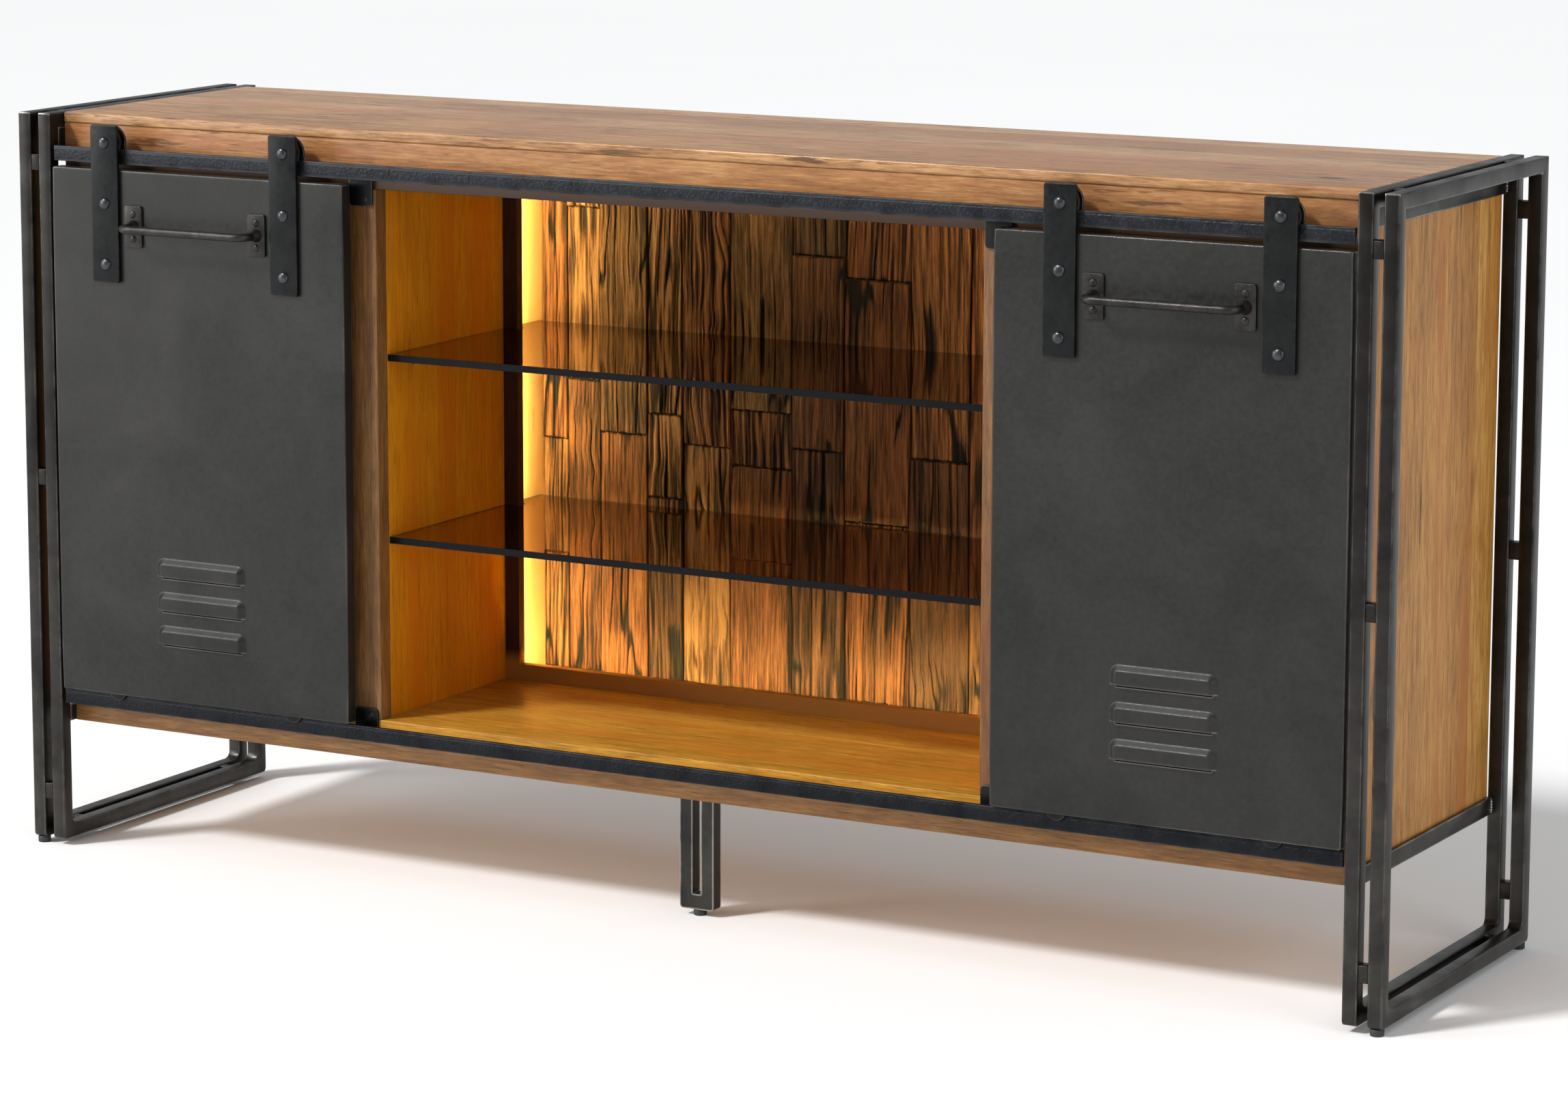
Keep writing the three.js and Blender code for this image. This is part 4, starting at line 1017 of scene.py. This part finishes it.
def hanger(side, place):
    """Strap with three domed bolts; the top one carries the roller."""
    node = f"{side}_{place}_strap"
    lo, hi = low(node), high(node)
    front = lo[1] + STRAP_STAND
    back = front + STRAP_THICK
    x, _, centre_z = middle(node)
    body = f"{side}_door"
    outline = rounded_rectangle(hi[0] - lo[0], hi[2] - lo[2], STRAP_CORNER)
    name = f"{side} {place} strap"
    plate(name, outline, "Y", (x, centre_z), front, STRAP_THICK, STRAP_EDGE, DARK_STEEL, body=body,
          replaced=[node])
    for number in range(3):
        z = AXLE_Z - number * BOLT_PITCH
        radius, rise = BOLT_HEAD
        turned(f"{name} bolt {number + 1}", [(0, -rise)] + dome(radius, rise, 0.3 * MM), "Y", (x, front, z),
               BOLT_STEEL, steps=28, body=body)
        length = hi[1] - back if number == 0 else SHORT_SHANK
        shank = [(0, 0), (SHANK_RADIUS, 0), (SHANK_RADIUS, length), (0, length)]
        turned(f"{name} shank {number + 1}", shank, "Y", (x, back, z), HANDLE_STEEL, steps=20, body=body)
    size, thick = NUT
    plate(f"{name} nut", disc(size, 6), "Y", (x, AXLE_Z), hi[1] - thick, thick, 0.5 * MM, DARK_STEEL,
          body=body)


def grooved_roller(side, place):
    """Turned roller: two flanges with softened rims and a groove that sits on the track."""
    node = f"{side}_{place}_roller"
    lo, hi = low(node), high(node)
    radius, width = (hi[2] - lo[2]) / 2, hi[1] - lo[1]
    bore, groove, flange, lip = 4.7 * MM, 7.8 * MM, 3.2 * MM, 0.9 * MM
    turn = quarter(4)
    front = [(radius - lip * (1 - math.sin(t)), lip * (1 - math.cos(t))) for t in turn]
    back = [(r, width - d) for r, d in front[::-1]]
    profile = [(bore, 0.4 * MM), (bore + 3 * MM, 0.4 * MM), (bore + 4 * MM, 0)] + front
    profile += [(radius, flange - 0.5 * MM), (radius - 0.5 * MM, flange), (groove, flange),
                (groove, width - flange), (radius - 0.5 * MM, width - flange),
                (radius, width - flange + 0.5 * MM)] + back
    profile += [(bore, width)]
    centre = middle(node)
    turned(f"{side} {place} roller", profile, "Y", (centre[0], lo[1], centre[2]), DARK_STEEL, 64, bored=True,
           body=node, replaced=[node])


def bent_rod(name, points, radius, material, **more):
    """A round section carried along a flat path: each ring lies across the path's direction."""
    points = np.asarray(points)
    along = np.gradient(points, axis=0)
    along /= np.linalg.norm(along, axis=1)[:, None]
    up = np.array([0.0, 0.0, 1.0])
    turn = circle(16)[None]
    ring = turn[..., :1] * np.cross(along, up)[:, None, :] + turn[..., 1:] * up
    placed = points[:, None, :] + radius * ring
    object_from(name, placed, ring_faces(*placed.shape[:2]), material, **more)


ROD = {"radius": 4.9 * MM, "bend": 13 * MM, "half": 88.5 * MM}
HANDLE_PLATE = (25 * MM, 50 * MM, 3 * MM)
RIVET_OFFSET = 14.75 * MM


def door_handle(side):
    """Round rod bent twice, standing on two riveted plates."""
    node = f"{side}_handle"
    lo, hi = low(node), high(node)
    body = f"{side}_door"
    radius, bend, half = ROD["radius"], ROD["bend"], ROD["half"]
    width, height, thickness = HANDLE_PLATE
    x, _, z = middle(node)
    rod_y = lo[1] + radius
    plate_y = hi[1] - thickness
    turn = quarter(8)
    corner = np.column_stack([-half + bend * (1 - np.cos(turn)), rod_y + bend * (1 - np.sin(turn))])
    leg = np.column_stack([np.full(5, -half), np.linspace(plate_y + 1 * MM, rod_y + bend + 1 * MM, 5)])
    run = np.column_stack([np.linspace(-half + bend + 1 * MM, 0, 12), np.full(12, rod_y)])
    left = np.concatenate([leg, corner, run])
    path = np.concatenate([left, left[-2::-1] * (-1, 1)])
    line = np.column_stack([x + path[:, 0], path[:, 1], np.full(len(path), z)])
    bent_rod(f"{side} handle rod", line, radius, HANDLE_STEEL, body=body, replaced=[node])
    for number, sx in enumerate((-1, 1)):
        place_x = x + sx * half
        outline = rounded_rectangle(width, height, 3 * MM)
        plate(f"{side} handle plate {number + 1}", outline, "Y", (place_x, z), plate_y, thickness, 0.6 * MM,
              HANDLE_STEEL, body=body)
        flare = ((0, -10), (0.9, -7), (2.3, -3), (3.2, 0), (3.2, 0.5))
        collar = [(0, -10 * MM)] + [(radius + out * MM, depth * MM) for out, depth in flare]
        turned(f"{side} handle weld {number + 1}", collar, "Y", (place_x, plate_y, z), HANDLE_STEEL,
               body=body)
        for end, dz in (("lower", -RIVET_OFFSET), ("upper", RIVET_OFFSET)):
            head = [(0, -RIVET_HEAD[1])] + dome(*RIVET_HEAD)
            turned(f"{side} handle {end} rivet {number + 1}", head, "Y", (place_x, plate_y, z + dz),
                   HANDLE_STEEL, steps=24, body=body)


GUIDE = {"radius": 12.5 * MM, "cheek": 1.8 * MM, "play": 0.8 * MM}


def door_guide(side, place):
    """Two round cheeks, one on either side of the lower track."""
    node = f"{side}_{place}_guide"
    x = middle(node)[0]
    z = low(node)[2] + GUIDE["radius"]
    rear = high("lower_track")[1] + GUIDE["play"]
    for cheek, start, replaced in (("front", low(node)[1], [node]), ("rear", rear, [])):
        plate(f"{side} {place} guide {cheek} cheek", disc(GUIDE["radius"]), "Y", (x, z), start,
              GUIDE["cheek"], 0.5 * MM, DARK_STEEL, body=f"{side}_door", replaced=replaced)


for side in SIDES:
    door_panel(side)
    door_handle(side)
    for place in ("outer", "inner"):
        hanger(side, place)
        grooved_roller(side, place)
        door_guide(side, place)

# ---- stage, light and camera

FLOOR_REACH = 60.0
SKY_STRENGTH = 0.46
# each lamp: its kind, its spread, its strength, where it is and where it points
LAMPS = {
    "key": ("SUN", math.radians(9), 2.6, (-1.6, -2.2, 2.6), (0, 0, 0)),
    "fill": ("AREA", 3.0, 60, (5.0, -1.5, 2.2), (0, 0, 0.4)),
    "left soft box": ("AREA", 2.6, 130, (-4.6, -3.4, 1.9), (-0.4, 0, 0.5)),
}
CAMERA_PLACE = (2.8744, -5.0980, 1.4938)
CAMERA_TURN = 29.661
CAMERA_TILT = 9.62
LENS = 117.27
SHIFT = (0.040, -0.05)


def pale_floor():
    """A wide pale floor, faintly uneven in tone."""
    f = Finish("pale studio floor", Roughness=0.9)
    haze = f.noise(f.place(), 0.4, 2.0)
    f.show("Base Color", f.ramp(haze, [(0.3, (0.93, 0.93, 0.93)), (0.7, (0.95, 0.95, 0.95))]))
    mesh = bpy.data.meshes.new("floor")
    corners = [(x * FLOOR_REACH, y * FLOOR_REACH, 0) for x, y in ((-1, -1), (1, -1), (1, 1), (-1, 1))]
    mesh.from_pydata(corners, [], [(0, 1, 2, 3)])
    mesh.materials.append(f.material)
    added("floor", mesh)


def lamp(name, kind, spread, strength, place, target):
    """A lamp at `place`, facing `target`."""
    data = bpy.data.lights.new(name, kind)
    data.energy = strength
    setattr(data, "angle" if kind == "SUN" else "size", spread)
    holder = added(name, data)
    holder.location = place
    holder.rotation_euler = (Vector(target) - Vector(place)).to_track_quat("-Z", "Y").to_euler()


def studio():
    """Even sky, a soft key from the upper front left, a weak fill from the right and a box at the left."""
    world = bpy.data.worlds.new("studio")
    world.use_nodes = True
    background = world.node_tree.nodes["Background"].inputs
    background["Color"].default_value = (0.97, 0.985, 1.0, 1)
    background["Strength"].default_value = SKY_STRENGTH
    bpy.context.scene.world = world
    bpy.context.scene.view_settings.view_transform = "Standard"
    for name, settings in LAMPS.items():
        lamp(name, *settings)


def camera():
    """Long lens at the front right, looking a little down."""
    data = bpy.data.cameras.new("camera")
    data.sensor_width = 36.0
    data.lens = LENS
    data.shift_x, data.shift_y = SHIFT
    data.clip_end = 200.0
    holder = added("camera", data)
    holder.location = CAMERA_PLACE
    holder.rotation_euler = (math.radians(90 - CAMERA_TILT), 0.0, math.radians(CAMERA_TURN))
    bpy.context.scene.camera = holder


pale_floor()
studio()
camera()
